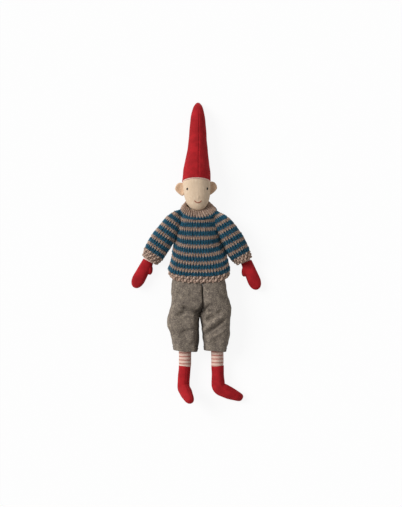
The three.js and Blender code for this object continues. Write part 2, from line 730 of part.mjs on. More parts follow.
function trouserHemRows(side) {
  const inner = trouserHemInner - hemFold;
  const outer = trouserHemReach + hemFold;
  return [
    legRow(side, trouserHemY + trouserHemBand, inner, outer, -flatDepth, trouserHemDepth + 2 * hemFold),
    legRow(side, trouserHemY, inner + hemFold, outer - hemFold, -flatDepth, trouserHemDepth + hemFold),
  ];
}

// Legs inside the trousers, down to the boot
const ankleX = (side) => (side < 0 ? leftAnkleX : rightAnkleX);
const thighRadius = hipRadius - trouserCloth - clearance;
const legBack = trouserCloth + hemFold + 2 * clearance - flatDepth;
const stockingBack = (y) => mix(legBack, 0, ease((trouserHemY - y) / stockingWidth));
function thighRows(side) {
  const rows = [];
  const x = seamX + side * (trouserHalfWidth / 2);
  for (let i = 0; i <= domeSteps; i += 1) {
    const angle = mix(radians(75), 0, i / domeSteps);
    const deep = thighRadius * Math.cos(angle);
    const half = thighWidth / 2 - thighCorner * Math.sin(angle);
    rows.push(row(hipY + thighRadius * Math.sin(angle), x, hipZ - deep, hipZ + deep, half));
  }
  const kneeHalf = mix(stockingWidth, thighWidth, 0.43) / 2;
  rows.push(row(kneeY, mix(x, ankleX(side), 0.6), legBack, legBack + 2 * kneeHalf, kneeHalf));
  const legTop = stockingTopY + clearance;
  rows.push(row(legTop, ankleX(side), legBack, legBack + stockingWidth, stockingWidth / 2));
  return rows;
}

// The upper leg fills the trouser leg's round top, with the clearance between them
function thighForm(side, by, open) {
  const rows = inset(thighRows(side), by);
  const room = inset(trouserLegRows(side), trouserCloth + clearance + by);
  return loft(open ? through(rows, false, true) : rows, hiddenSides).intersect(loft(room, hiddenSides));
}

function stockingRows(side) {
  return [stockingTopY, trouserHemY, bootTopY + clearance].map((y) => (
    row(y, ankleX(side), stockingBack(y), stockingBack(y) + bootDepth, stockingWidth / 2)));
}

// A boot is a bent tube: down the shaft, round the ankle and along the foot. The foot leaves the leg's line
// by its angle, in the plane that the roll turns about that line: 0 is flat to the side, 90 points up.
function bootRings(side, by, openTop) {
  const angle = radians(side < 0 ? leftFootAngle : rightFootAngle);
  const roll = radians(side < 0 ? leftFootRoll : 0);
  const down = new THREE.Vector3(0, -1, 0);
  const across = new THREE.Vector3(Math.cos(roll), 0, Math.sin(roll));
  const normal = new THREE.Vector3().crossVectors(down, across);
  const stations = [];
  const add = (s, t, turn, half, deep) => stations.push({ s, t, turn, half: half - by, deep: deep - by });
  const top = stockingWidth / 2;
  if (openTop) add(-past, 0, 0, top, bootDepth / 2);
  add(0, 0, 0, top, bootDepth / 2);
  add(bootShaft * 0.6, 0, 0, top, bootDepth / 2);
  for (let i = 0; i <= bendSteps; i += 1) {
    const turn = (angle * i) / bendSteps;
    const out = ankleBend * (1 - Math.cos(turn));
    add(bootShaft + ankleBend * Math.sin(turn), out, turn, ankleWidth / 2, bootDepth / 2);
  }
  const s0 = bootShaft + ankleBend * Math.sin(angle);
  const t0 = ankleBend * (1 - Math.cos(angle));
  for (const [share, full] of [[0.35, 0.8], [0.8, 0.22], [0.93, 0.05], [1, -0.45]]) {
    const reach = footLength * share - (share > 0.99 ? by : 0);
    const half = mix(toeWidth, ankleWidth, full) / 2;
    const deep = mix(toeDepth, bootDepth, full) / 2;
    add(s0 + reach * Math.cos(angle), t0 + reach * Math.sin(angle), angle, half, deep);
  }
  const low = (deep) => (side < 0 ? bootDepth / 2 : deep + by) - flatDepth;
  return stations.filter((p) => Math.min(p.half, p.deep) > 0.8).map(({ s, t, turn, half, deep }) => {
    const middle = new THREE.Vector3(ankleX(side), bootTopY - clearance / 2, low(deep))
      .addScaledVector(down, s).addScaledVector(across, t);
    const inPlane = across.clone().multiplyScalar(Math.cos(turn)).addScaledVector(down, -Math.sin(turn));
    const points = [];
    for (let i = 0; i < bootSides; i += 1) {
      const a = (2 * Math.PI * i) / bootSides;
      const edge = middle.clone().addScaledVector(inPlane, half * Math.cos(a));
      points.push(edge.addScaledVector(normal, deep * Math.sin(a)));
    }
    return points;
  });
}
const bootForm = (side, by, openTop) => toSolid(pile(bootRings(side, by, openTop)));

function leg(side) {
  const seamSide = side < 0 ? leftOf(seamX) : rightOf(seamX);
  const stockings = stockingRows(side);
  const trouserLeg = clothTube(trouserLegRows(side), trouserCloth, false, true, roundSides, hiddenSides);
  const hemTube = clothTube(trouserHemRows(side), trouserCloth + hemFold, true, true);
  return {
    trouser_leg: [onFloor(trouserLeg.intersect(seamSide)), looks.tweed],
    trouser_hem: [onFloor(hemTube), looks.tweed],
    leg_skin: [thighForm(side, 0, false).subtract(thighForm(side, linenThickness, true)), looks.paleCloth],
    leg_filling: [thighForm(side, linenThickness + clearance, false), looks.filling],
    stocking: [onFloor(clothTube(stockings, redCloth, true, true)), looks.stocking],
    stocking_filling: [loft(inset(stockings, redCloth + clearance), hiddenSides), looks.filling],
    boot: [onFloor(bootForm(side, 0, false).subtract(bootForm(side, redCloth, true))), looks.redFelt],
    boot_filling: [bootForm(side, redCloth + clearance, false), looks.filling],
  };
}

// The doll
const doll = new THREE.Group();

function addPieces(parent, prefix, pieces) {
  for (const [name, [solid, look]] of Object.entries(pieces)) {
    const mesh = new THREE.Mesh(toGeometry(solid), look);
    mesh.name = prefix + name;
    parent.add(mesh);
  }
}

const torsoPieces = {
  torso_skin: [torsoSkin, looks.linen],
  torso_filling: [torsoFilling, looks.filling],
  sweater_front: [sweaterHalves[0], looks.blueKnit],
  sweater_back: [sweaterHalves[1], looks.blueKnit],
  sweater_neckband: [neckband, looks.beigeKnit],
  sweater_hem: [hemBand, looks.beigeKnit],
  trousers_left_seat: [seatHalves[0], looks.tweed],
  trousers_right_seat: [seatHalves[1], looks.tweed],
  trousers_waistband: [waistbandSolid, looks.tweed],
  waist_elastic: [waistElastic, looks.elastic],
};
const headPieces = {
  head_left_panel: [headSkin.intersect(leftOf(faceSeamX)), looks.linen],
  head_right_panel: [headSkin.intersect(rightOf(faceSeamX)), looks.linen],
  head_filling: [headFilling, looks.filling],
  left_ear: [ear(-1, leftEarY), looks.linen],
  right_ear: [ear(1, rightEarY), looks.linen],
  left_eye: [eye(-1), looks.thread],
  right_eye: [eye(1), looks.thread],
  mouth_stitch: [mouthStitch(), looks.mouthThread],
  hat_left_panel: [hatSkin.intersect(leftOf(faceSeamX)), looks.redFelt],
  hat_right_panel: [hatSkin.intersect(rightOf(faceSeamX)), looks.redFelt],
  hat_edge: [hatEdge, looks.paleCloth],
  hat_filling: [hatFilling, looks.filling],
};
addPieces(doll, '', torsoPieces);
addPieces(doll, '', headPieces);
for (const [side, prefix] of [[-1, 'left_'], [1, 'right_']]) {
  const limb = new THREE.Group();
  limb.position.set(shoulderX(side), shoulderY, shoulderZ);
  limb.rotation.z = side * radians(armAngle(side));
  const wrist = new THREE.Group();
  wrist.position.set(0, -armLength - clearance, 0);
  wrist.rotation.z = side * radians(handTurn(side));
  limb.add(wrist);
  doll.add(limb);
  const { pieces, hand } = arm(side);
  addPieces(limb, prefix, pieces);
  addPieces(wrist, prefix, hand);
  addPieces(doll, prefix, leg(side));
}

export default doll;
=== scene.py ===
"""A stuffed pixie doll, lying on its back: linen head and ears, red felt hat, mittens and boots, a striped
knitted jumper, tweed knee trousers and striped stockings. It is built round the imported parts.

Shapes are worked out in millimetres and made in metres. +Y runs up the doll to the tip of the hat, +X
is to the right as one looks at its front, and +Z comes out of its front."""
import json
import math

import bmesh
import bpy
import numpy as np
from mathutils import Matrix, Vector


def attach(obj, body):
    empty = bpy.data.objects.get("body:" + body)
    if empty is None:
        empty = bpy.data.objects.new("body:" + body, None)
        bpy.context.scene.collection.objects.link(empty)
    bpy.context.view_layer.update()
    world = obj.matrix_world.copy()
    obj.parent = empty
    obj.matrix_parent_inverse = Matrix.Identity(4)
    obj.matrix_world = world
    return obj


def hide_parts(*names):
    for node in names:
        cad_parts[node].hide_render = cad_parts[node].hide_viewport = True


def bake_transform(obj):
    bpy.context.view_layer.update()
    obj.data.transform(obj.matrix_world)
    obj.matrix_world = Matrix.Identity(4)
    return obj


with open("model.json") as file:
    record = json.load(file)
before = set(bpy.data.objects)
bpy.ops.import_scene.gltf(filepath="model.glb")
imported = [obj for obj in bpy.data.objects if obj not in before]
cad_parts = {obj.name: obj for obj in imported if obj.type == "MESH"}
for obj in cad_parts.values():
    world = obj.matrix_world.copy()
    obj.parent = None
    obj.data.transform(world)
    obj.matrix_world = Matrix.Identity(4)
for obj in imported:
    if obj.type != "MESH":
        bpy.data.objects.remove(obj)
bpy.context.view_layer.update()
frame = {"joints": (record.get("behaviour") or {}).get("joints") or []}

MM = 0.001
SIDES = {"left": -1, "right": 1}

# The picture: its size, how much one of its points spans on the doll, and the point that is the origin
PICTURE_WIDE, PICTURE_HIGH = 402, 507
POINT_SIZE = 1.625
ORIGIN_X, ORIGIN_Y = 199, 250
# The camera's height above the level at which a point has that span, and the level's height above the floor
CAMERA_HEIGHT, SCALE_LEVEL = 2000, 20
SENSOR = 36

# The sun's strength, its spread in degrees and the way it shines, and the strength of the light all round
SUN_LIGHT, SUN_SPREAD, SUN_WAY = 2.9, 32, (0.78, -0.34, -0.6)
SKY_LIGHT = 0.5
# The floor's reach to each side, in metres
FLOOR_REACH = 3.0

# Knitting: the heights of a course, and how high the yarn stands in plain knitting and in the moss stitch of
# the hem and the cuffs
BODY_COURSE, NECK_COURSE, EDGE_COURSE = 2.5, 2.45, 4.6
SLEEVE_COURSE = {"left": 2.48, "right": 2.57}
YARN_RISE, EDGE_RISE = 1.9, 1.6
# How far the middle of a plain stitch points down, in courses, and how far a moss stitch leans, in stitches
STITCH_POINT = 1.6
EDGE_SLANT = 0.4
BLUE_COURSES, BEIGE_COURSES = 3, 2
# The neckband's lowest courses are blue, and all its others beige
NECK_STRIPES = 2, 99
# Points across a stitch and along a course, and the stitches all the way round
ACROSS, ALONG = 10, 6
BODY_STITCHES, SLEEVE_STITCHES, NECK_STITCHES = 52, 24, 36
# A stitch's width in the middle of the front: at the body's top and bottom, and at the hem's
BODY_WIDTHS, HEM_WIDTHS = (4.2, 4.9), (5.1, 5.1)
# The unevenness of the knitting from point to point, and how broad its soft folds are
YARN_ROUGH, SOFT_FOLD = 0.05, 42

# Torso and jumper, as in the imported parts
NECK_LEAN, LEAN_START, LEAN_END = -4, -20, 65
HEM_Y, HEM_BAND = -41.2, 10.2
HEM_DIP, HEM_LIFT = -12, -4
NECK_Y = 65
FOLD_RADIUS, TUCK = 1.3, 7
# How much shade is painted on the body under each arm, and on a sleeve where it touches the body
BODY_SHADE = {"left": 0.4, "right": 0.6}
SLEEVE_SHADE = 0.5

# Arms
ARM_ANGLE = {"left": 33, "right": 29.5}
HAND_TURN = {"left": -5, "right": -7}
SLEEVE_END = {"left": -59.8, "right": -63}
CUFF_END, ARM_LENGTH = -73.8, 78.2
SLEEVE_TOP = 25
# How far down the arm the sleeve lies against the body, and so how far down its painted shade reaches
SLEEVE_TOUCHES = {"left": 22, "right": 46}
# Places this far above the shoulder's joint and this far below it, down the arm, which the sleeve works out
# but does not use
BEND_ABOVE, BEND_BELOW = 8, 24
# The stuffed arm reaches from this far above the joint to this far past its length, into the mitten
ARM_TOP, ARM_TUCK = 10.5, 4
# A mitten's back, from the arm's axis, and its thickness, then its wrist, its tip and where it opens
MITTEN_BACK, MITTEN_DEPTH = -21.5, 16
MITTEN_WRIST, MITTEN_TIP, MITTEN_OPEN = 9, -46, 2.8
MITTEN_SHIFT = {"left": 0, "right": 3.4}
THUMB_DROP = {"left": 0, "right": 2.6}
# The thumb's middle, to the side of the mitten's and down from the wrist, its size and its turn
THUMB_ASIDE, THUMB_DOWN, THUMB_SIZE, THUMB_TURN = 8.4, 7, (9.6, 19.5, 11), 0.52

# Trousers and legs
SEAM_X = 1
TROUSER_TOP, CROTCH_Y, KNEE_Y, TROUSER_HEM = -28, -106.5, -120, -164
# The top of the turned hem, and a place just past the trousers' end, to which their form runs on
HEM_TOP, LEG_END = TROUSER_HEM + 6.5, TROUSER_HEM - 2
ANKLE_X = {"left": -22.8, "right": 30}
STOCKING_WIDTH = 20.2
STOCKING_TOP = -148
BOOT_TOP = -188.6


def smooth(t):
    """A soft step, from 0 at 0 to 1 at 1."""
    t = np.clip(t, 0, 1)
    return t * t * (3 - 2 * t)


def mix(a, b, t):
    """From a to b as t goes from 0 to 1."""
    return a + (b - a) * t


def bump_at(x, place, width):
    """A smooth hump, 1 at the place and gone one width away."""
    return smooth(1 - np.abs(x - place) / width)


def lean(y):
    """How far the body's middle stands to the right at a place up it."""
    return NECK_LEAN * smooth((y - LEAN_START) / (LEAN_END - LEAN_START))


def through(places, values, at):
    """A smooth curve through the values at rising places, which doesn't swing past them."""
    places, values = np.asarray(places, float), np.asarray(values, float)
    step = np.diff(places)
    slope = np.diff(values) / step
    tangent = np.concatenate([slope[:1], slope[1:], slope[-1:]])
    before, after = slope[:-1], slope[1:]
    product = before * after
    total = np.where(product > 0, before + after, 1)
    tangent[1:-1] = np.where(product > 0, 2 * product / total, 0)
    at = np.clip(at, places[0], places[-1])
    k = np.clip(np.searchsorted(places, at, side="right") - 1, 0, len(step) - 1)
    t = (at - places[k]) / step[k]
    rise = values[k + 1] * t * t * (3 - 2 * t) + values[k] * (1 - t) ** 2 * (1 + 2 * t)
    return rise + step[k] * (tangent[k] * t * (1 - t) ** 2 - tangent[k + 1] * t * t * (1 - t))


def waves(points, size, seed):
    """Soft unevenness from -1 to 1, about size millimetres across."""
    draw = np.random.default_rng(seed)
    total, count = 0, 7
    for _ in range(count):
        way = draw.normal(size=3)
        way /= np.linalg.norm(way)
        length = size * draw.uniform(0.7, 1.4)
        total = total + np.sin(points @ way * (2 * math.pi / length) + draw.uniform(0, 6.3))
    return total / (count / 2)


def unit(vectors):
    """The same directions, one long."""
    return vectors / np.maximum(np.linalg.norm(vectors, axis=-1, keepdims=True), 1e-9)


def running(steps):
    """The running total of some steps, from 0."""
    return np.concatenate([[0], np.cumsum(steps)])


def path_length(points):
    """How far along a path each of its points lies."""
    return running(np.linalg.norm(np.diff(points, axis=0), axis=1))


def spun(points, angle):
    """Points turned about the z axis."""
    x, y, z = points[..., 0], points[..., 1], points[..., 2]
    cos, sin = math.cos(angle), math.sin(angle)
    return np.stack([x * cos - y * sin, x * sin + y * cos, z], -1)


class Form:
    """A soft form of rings along the y axis, each an ellipse with squarer corners where it is full. A row is
    (y, middle x, back z, front z, half width, dip of the front, lift of the back, fullness, level). The dip
    follows the curve of the form at level 1, and lies flatter across the front below that."""

    def __init__(self, rows):
        filled = [tuple(r) + (0, 0, 1, 1)[len(r) - 5:] for r in rows]
        self.rows = np.array(sorted(filled), float)

    def at(self, y):
        """All the numbers of a row, at any place."""
        return [through(self.rows[:, 0], column, y) for column in self.rows[:, 1:].T]

    def point(self, y, angle):
        """Points of the surface. The front is at angle 0, and +x a quarter turn on."""
        middle, back, front, half, dip, lift, full, level = self.at(y)
        side, out = np.sin(angle), np.cos(angle)
        rise = np.where(out > 0, dip * np.maximum(out, 1e-6) ** level, -lift * out)
        x = middle + half * np.sign(side) * np.abs(side) ** full
        z = (back + front) / 2 + (front - back) / 2 * np.sign(out) * np.abs(out) ** full
        return np.stack(np.broadcast_arrays(x, y + rise, z), axis=-1)

    def normal(self, y, angle):
        """The outward direction at a place, from small steps up and round."""
        up = self.point(y + 0.2, angle) - self.point(y - 0.2, angle)
        round_it = self.point(y, angle + 0.01) - self.point(y, angle - 0.01)
        return unit(np.cross(round_it, up))

    def angles(self, y, even, share):
        """The angle at each share of the way round one ring, from the front by way of +x. At even 0 the
        shares are lengths of the ring. Above it, columns keep that width near the front's and the back's
        middle and draw together towards the sides."""
        steps = 60
        quarter = np.linspace(0, math.pi / 2, steps)
        turns = (share * 4) % 4
        near = np.abs((turns + 1) % 2 - 1)
        found = []
        for turned in (quarter, math.pi - quarter):
            length = path_length(self.point(np.full(steps, y), turned))
            spare = np.clip(even / length[-1], 0.6, 1.8) if even else 1
            found.append(np.interp((spare * near + (1 - spare) * near**2) * length[-1], length, quarter))
        front, back = found
        return np.select([turns <= 1, turns <= 2, turns < 3], [front, math.pi - back, math.pi + back],
                         2 * math.pi - front)


def outward(points, closed):
    """Unit normals of a grid that face away from the middle of its rings, and whether the faces must turn."""
    if closed:
        across = np.roll(points, -1, 1) - np.roll(points, 1, 1)
    else:
        across = np.gradient(points, axis=1)
    normal = unit(np.cross(across, np.gradient(points, axis=0)))
    middle = points.mean(axis=1, keepdims=True)
    turned = bool((normal * (points - middle)).sum() < 0)
    return (-normal if turned else normal), turned


def piece(name, points, faces, materials, cloth=None, chosen=None, **marks):
    """One mesh from millimetre points. cloth holds a pair of millimetre places for each face corner, chosen
    the material of each face, and a mark a number for each point, which a material reads by its name."""
    mesh = bpy.data.meshes.new(name)
    mesh.from_pydata((points * MM).tolist(), [], faces)
    for material in materials:
        mesh.materials.append(material)
    if cloth is not None:
        mesh.uv_layers.new(name="cloth").uv.foreach_set("vector", cloth.astype(np.float32).ravel())
    if chosen is not None:
        mesh.polygons.foreach_set("material_index", chosen.astype(np.int32))
    for mark, values in marks.items():
        made = mesh.attributes.new(mark, "FLOAT", "POINT")
        made.data.foreach_set("value", values.astype(np.float32).ravel())
    mesh.shade_smooth()
    obj = bpy.data.objects.new(name, mesh)
    bpy.context.scene.collection.objects.link(obj)
    remember(obj)
    return obj


def remember(obj):
    """Writes each point's place at rest, in millimetres, for the materials."""
    mesh = obj.data
    place = np.empty(len(mesh.vertices) * 3, np.float32)
    mesh.vertices.foreach_get("co", place)
    mesh.attributes.new("rest", "FLOAT_VECTOR", "POINT").data.foreach_set("vector", place / MM)


def grid_faces(rows, columns, closed, turned):
    """The faces between a grid's points, and the row and column of each face's corners."""
    last = columns if closed else columns - 1
    r, c = np.meshgrid(np.arange(rows - 1), np.arange(last), indexing="ij")
    here, beside = r * columns + c, r * columns + (c + 1) % columns
    faces = np.stack([here, beside, beside + columns, here + columns], -1).reshape(-1, 4)
    corners = np.stack([r, c, r, c + 1, r + 1, c + 1, r + 1, c], -1).reshape(-1, 4, 2)
    if turned:
        faces, corners = faces[:, ::-1], corners[:, ::-1]
    return faces, corners


def joined(grids, capped=False):
    """The points and faces of several closed grids together, each with both ends filled where capped."""
    points, faces, count = [], [], 0
    for grid in grids:
        rows, columns = grid.shape[:2]
        _, turned = outward(grid, True)
        found, _ = grid_faces(rows, columns, True, turned)
        points.append(grid.reshape(-1, 3))
        faces += (found + count).tolist()
        if capped:
            for end in (range(columns), range((rows - 1) * columns, rows * columns)):
                faces.append([i + count for i in end])
        count += rows * columns
    return np.concatenate(points), faces


def skin(name, points, materials, closed=True, choose=None, **marks):
    """A piece from a grid of points. The cloth's own places are measured along the grid, and choose says
    the material of each face from its row."""
    rows, columns = points.shape[:2]
    _, turned = outward(points, closed)
    faces, corners = grid_faces(rows, columns, closed, turned)
    ring = np.concatenate([points, points[:, :1]], 1) if closed else points
    wide = np.linalg.norm(np.diff(ring, axis=1), axis=-1).mean(0)
    long = np.linalg.norm(np.diff(points, axis=0), axis=-1).mean(1)
    cloth = np.stack([running(wide)[corners[..., 1]], running(long)[corners[..., 0]]], -1)
    chosen = None if choose is None else choose(corners[:, 0, 0])
    return piece(name, points.reshape(-1, 3), faces.tolist(), materials, cloth, chosen, **marks)


def rest_on_floor(points, low=0.02):
    """Lifts what would lie below the floor."""
    points[..., 2] = np.maximum(points[..., 2], low)
    return points


class Value:
    """A socket of a material, so that shader maths reads as an expression."""

    def __init__(self, paint, socket):
        self.paint = paint
        self.socket = socket

    def math(self, operation, *others):
        sockets = dict(enumerate((self, *others)))
        return self.paint.node("ShaderNodeMath", sockets, operation=operation)

    def turned(self, operation, first):
        """The same, with a number as the first of the two."""
        return self.paint.node("ShaderNodeMath", {0: first, 1: self}, operation=operation)

    def __add__(self, other):
        return self.math("ADD", other)

    def __mul__(self, other):
        return self.math("MULTIPLY", other)

    def __sub__(self, other):
        return self.math("SUBTRACT", other)

    def __rsub__(self, other):
        return self.turned("SUBTRACT", other)

    def __truediv__(self, other):
        return self.math("DIVIDE", other)

    def __rtruediv__(self, other):
        return self.turned("DIVIDE", other)

    __radd__ = __add__
    __rmul__ = __mul__

    def sin(self):
        return self.math("SINE")

    def abs(self):
        return self.math("ABSOLUTE")

    def or_more(self, other):
        return self.math("MAXIMUM", other)

    def between(self, low, high):
        """0 below low, 1 above high, smooth in between."""
        sockets = {"Value": self, "From Min": low, "From Max": high}
        return self.paint.node("ShaderNodeMapRange", sockets, interpolation_type="SMOOTHSTEP")


class Paint:
    """A material, or the world, under construction."""

    def __init__(self, owner):
        self.owner = owner
        owner.use_nodes = True
        self.tree = owner.node_tree
        self.tree.nodes.clear()

    def node(self, kind, sockets=None, output=0, stops=None, **settings):
        """One node: its settings are set first, then its sockets' values and links."""
        made = self.tree.nodes.new(kind)
        for key, value in settings.items():
            setattr(made, key, value)
        if stops:
            ramp = made.color_ramp.elements
            for k, (place, colour) in enumerate(stops):
                stop = ramp[k] if k < len(ramp) else ramp.new(place)
                stop.position, stop.color = place, colour
        for key, value in (sockets or {}).items():
            if isinstance(value, Value):
                self.tree.links.new(value.socket, made.inputs[key])
            else:
                made.inputs[key].default_value = value
        return Value(self, made.outputs[output])

    def mix(self, share, a, b):
        """Colour a where the share is 0, and b where it is 1."""
        return self.node("ShaderNodeMix", {0: share, 6: a, 7: b}, output=2, data_type="RGBA")

    def vector(self, operation, *inputs):
        return self.node("ShaderNodeVectorMath", dict(enumerate(inputs)), operation=operation)

    def rest(self):
        """Each point's place at rest, in millimetres."""
        return self.node("ShaderNodeAttribute", attribute_name="rest", output=1)

    def mark(self, name):
        """The number that each point of a piece carries under that name."""
        return self.node("ShaderNodeAttribute", attribute_name=name, output=2)

    def cloth(self):
        """The places across and along the cloth, in millimetres."""
        place = self.node("ShaderNodeUVMap", uv_map="cloth")
        split = self.node("ShaderNodeSeparateXYZ", {0: place})
        return split, Value(self, split.socket.node.outputs[1])

    def noise(self, size, detail=2.0, rough=0.5, stretch=None):
        """Noise with lumps of about that size in millimetres."""
        place = self.rest()
        if stretch:
            place = self.vector("MULTIPLY", place, stretch)
        sockets = {"Vector": place, "Scale": 1 / size, "Detail": detail, "Roughness": rough}
        return self.node("ShaderNodeTexNoise", sockets)

    def finish(self, colour, roughness, height, depth, sheen, sheen_tint):
        """The surface: height is in the shader's own range and depth is how deep it is, in millimetres."""
        bump = self.node("ShaderNodeBump", {"Height": height, "Distance": depth * MM, "Strength": 1.0})
        sockets = {
            "Base Color": colour,
            "Roughness": roughness,
            "Normal": bump,
            "Sheen Weight": sheen,
            "Sheen Roughness": 0.5,
            "Sheen Tint": sheen_tint,
            "Specular IOR Level": 0.2,
        }
        surface = self.node("ShaderNodeBsdfPrincipled", sockets)
        self.show(surface)
        return self.owner

    def show(self, surface, kind="ShaderNodeOutputMaterial"):
        """Links a surface to the output."""
        out = self.tree.nodes.new(kind)
        self.tree.links.new(surface.socket, out.inputs["Surface"])

    def seen(self):
        """1 where the camera looks, straight on, by a mirror or through glass."""
        path = self.node("ShaderNodeLightPath", output="Is Camera Ray")
        outputs = path.socket.node.outputs
        mirrored = Value(self, outputs["Is Glossy Ray"])
        through_glass = Value(self, outputs["Is Transmission Ray"])
        return path.or_more(mirrored).or_more(through_glass)


def srgb(red, green, blue):
    """A colour as read from a picture, 0 to 255, as the shader's linear colour."""
    linear = [((c / 255 + 0.055) / 1.055) ** 2.4 if c > 10 else c / 255 / 12.92 for c in (red, green, blue)]
    return (*linear, 1)


def yarn(name, colour, light, dark, deep):
    """Wool yarn of several shades twisted together. The colour deep is painted shade: it darkens the yarn
    where it lies low between its neighbours and in the shaded folds under the arms.
    """
    paint = Paint(bpy.data.materials.new(name))
    twist = paint.noise(0.75, detail=3, stretch=(1, 0.5, 1))
    patches = paint.noise(6)
    base = paint.mix(twist.between(0.36, 0.56), dark, colour)
    base = paint.mix(twist.between(0.54, 0.7), base, light)
    base = paint.mix(patches.between(0.35, 0.75) * 0.3, base, dark)
    # Painted shade: the dark colour deep takes over where the yarn lies low or in a shaded fold.
    base = paint.mix(paint.mark("relief").between(0.1, 0.55), deep, base)
    fuzz = paint.noise(0.35, detail=4, rough=0.7)
    return paint.finish(base, fuzz.between(0.2, 0.8) * 0.1 + 0.85, fuzz, 0.25, 0.25, light)


def felt(name, colour, light, dark):
    """Soft brushed cotton: cloudy colour, with a fine nap."""
    paint = Paint(bpy.data.materials.new(name))
    clouds = paint.noise(9, detail=3)
    nap = paint.noise(0.5, detail=4, rough=0.7)
    base = paint.mix(clouds.between(0.3, 0.75), dark, colour)
    base = paint.mix(nap.between(0.45, 0.8) * 0.35, base, light)
    return paint.finish(base, nap.between(0.2, 0.8) * 0.12 + 0.82, nap, 0.18, 0.3, light)


def woven(name, colour, light, dark, thread, depth, shade=0.5, added_colour=None):
    """Plain weave: threads over and under each other, of that width and depth in millimetres, slightly
    uneven. The last argument, where given, changes its colour further, as with the tweed's flecks and painted
    shade."""
    paint = Paint(bpy.data.materials.new(name))
    across, along = paint.cloth()
    sway = paint.noise(5)
    turn = 2 * math.pi / (2 * thread)
    warp = (across * turn + sway * 3).sin()
    weft = (along * turn + sway * 3).sin()
    height = (warp * weft) * 0.5 + 0.5
    slub = paint.noise(2.2, detail=3, stretch=(1, 0.25, 1))
    slub_along = paint.noise(2.2, detail=3, stretch=(0.25, 1, 1))
    # Painted shade between the threads: darker where the weave lies low, by the share shade.
    base = paint.mix(height.between(0.1, 0.9) * shade + (1 - shade) * 0.5, dark, colour)
    base = paint.mix(slub.between(0.45, 0.8) * 0.5, base, light)
    base = paint.mix(slub_along.between(0.5, 0.85) * 0.4, base, dark)
    if added_colour:
        base = added_colour(paint, base, light, dark)
    rough = slub.between(0.2, 0.8) * 0.1 + 0.82
    return paint.finish(base, rough, height + slub * 0.6, depth, 0.15, light)


def tweed_flecks_and_painted_shade(paint, base, light, dark):
    """Cloudy patches, pale and dark flecks spun into the yarn, and painted shade along the seam, round the
    crotch, down the inside of the legs and in the folds.
    """
    cloudy = paint.noise(6, detail=3)
    base = paint.mix(cloudy.between(0.5, 0.7) * 0.4, base, light)
    base = paint.mix((1 - cloudy).between(0.5, 0.7) * 0.4, base, dark)
    salt = paint.noise(1.2, detail=4, rough=0.75)
    pepper = paint.noise(1.5, detail=4, rough=0.75, stretch=(1, 1, 2))
    base = paint.mix(salt.between(0.54, 0.68) * 0.95, base, srgb(206, 188, 164))
    base = paint.mix(pepper.between(0.53, 0.66) * 0.95, base, srgb(46, 41, 39))
    # Painted shade: a near-black brown where the hollow mark is high.
    return paint.mix(paint.mark("hollow") * 0.85, base, srgb(30, 26, 24))


def striped(name, colour, light, stripe, spacing, width, start):
    """Fine jersey with thin stripes round it. Spacing and width are in millimetres along the cloth."""
    paint = Paint(bpy.data.materials.new(name))
    across, along = paint.cloth()
    sway = paint.noise(7)
    rib, course = 0.9, 0.8
    ribs = (across * (2 * math.pi / rib)).sin() * 0.5 + 0.5
    rows = (along * (2 * math.pi / course)).sin() * 0.5 + 0.5
    fuzz = paint.noise(0.8, detail=3)
    place = (along - start + (sway - 0.5) * 1.2) / spacing
    phase = place.math("FRACT")
    half, soft_edge = width / spacing / 2, 0.07
    band = 1 - (phase - 0.5).abs().between(half - soft_edge, half + soft_edge)
    base = paint.mix(fuzz.between(0.3, 0.8) * 0.5, colour, light)
    base = paint.mix(band * (fuzz.between(0.1, 0.7) * 0.35 + 0.65), base, stripe)
    return paint.finish(base, fuzz.between(0.2, 0.8) * 0.1 + 0.83, ribs * 0.6 + rows * 0.4, 0.15, 0.2, light)


def thread(name, colour, light):
    """Embroidery thread, with the twist of its plies."""
    paint = Paint(bpy.data.materials.new(name))
    twist = paint.noise(0.35, detail=2, stretch=(1, 3, 1))
    base = paint.mix(twist.between(0.4, 0.8) * 0.6, colour, light)
    return paint.finish(base, twist.between(0.2, 0.8) * 0.15 + 0.5, twist, 0.15, 0.1, light)


# The last colour of each yarn is its painted shade.
blue_yarn = yarn("blue_yarn", srgb(40, 96, 120), srgb(84, 136, 154), srgb(20, 62, 82), srgb(4, 12, 18))
beige_yarn = yarn("beige_yarn", srgb(184, 158, 141), srgb(224, 208, 190), srgb(144, 114, 98),
                  srgb(42, 22, 16))
red_felt = felt("red_felt", srgb(166, 25, 32), srgb(188, 50, 52), srgb(142, 18, 25))
fine_weave = {"thread": 0.42, "depth": 0.12}
linen = woven("linen", srgb(221, 198, 172), srgb(234, 216, 193), srgb(200, 174, 146), shade=0.6, **fine_weave)
# The ears' linen is the face's linen painted a little darker and warmer: painted shade.
shaded_ear_linen = woven("shaded_ear_linen", srgb(220, 188, 159), srgb(234, 208, 182), srgb(200, 162, 130), shade=0.6,
                  **fine_weave)
pale_cloth = woven("pale_cloth", srgb(240, 208, 194), srgb(248, 226, 214), srgb(214, 172, 158), **fine_weave)
tweed = woven("tweed", srgb(130, 119, 108), srgb(162, 150, 134), srgb(86, 78, 72), thread=0.85, depth=0.22,
              added_colour=tweed_flecks_and_painted_shade)
stocking_knits = {
    word: striped(f"{word}_stocking_knit", srgb(210, 179, 164), srgb(224, 200, 186), srgb(170, 106, 96),
                  spacing=5.95, width=2.2, start=start)
    for word, start in (("left", 4.35), ("right", 2.6))
}
dark_thread = thread("dark_thread", srgb(38, 34, 32), srgb(74, 68, 62))
mouth_thread = thread("mouth_thread", srgb(138, 66, 48), srgb(170, 96, 72))
seam_thread = thread("seam_thread", srgb(92, 82, 72), srgb(126, 114, 98))


def turned_edge(end, way, tuck):
    """The path round the edge of a cloth and back up inside it, as (place, how far inside)."""
    centre = end - way * FOLD_RADIUS
    path = []
    for angle in np.linspace(0, math.pi, 7):
        path.append((centre + way * FOLD_RADIUS * math.sin(angle), FOLD_RADIUS * (1 - math.cos(angle))))
    return path + [(end - way * tuck, 2 * FOLD_RADIUS + 0.3)]


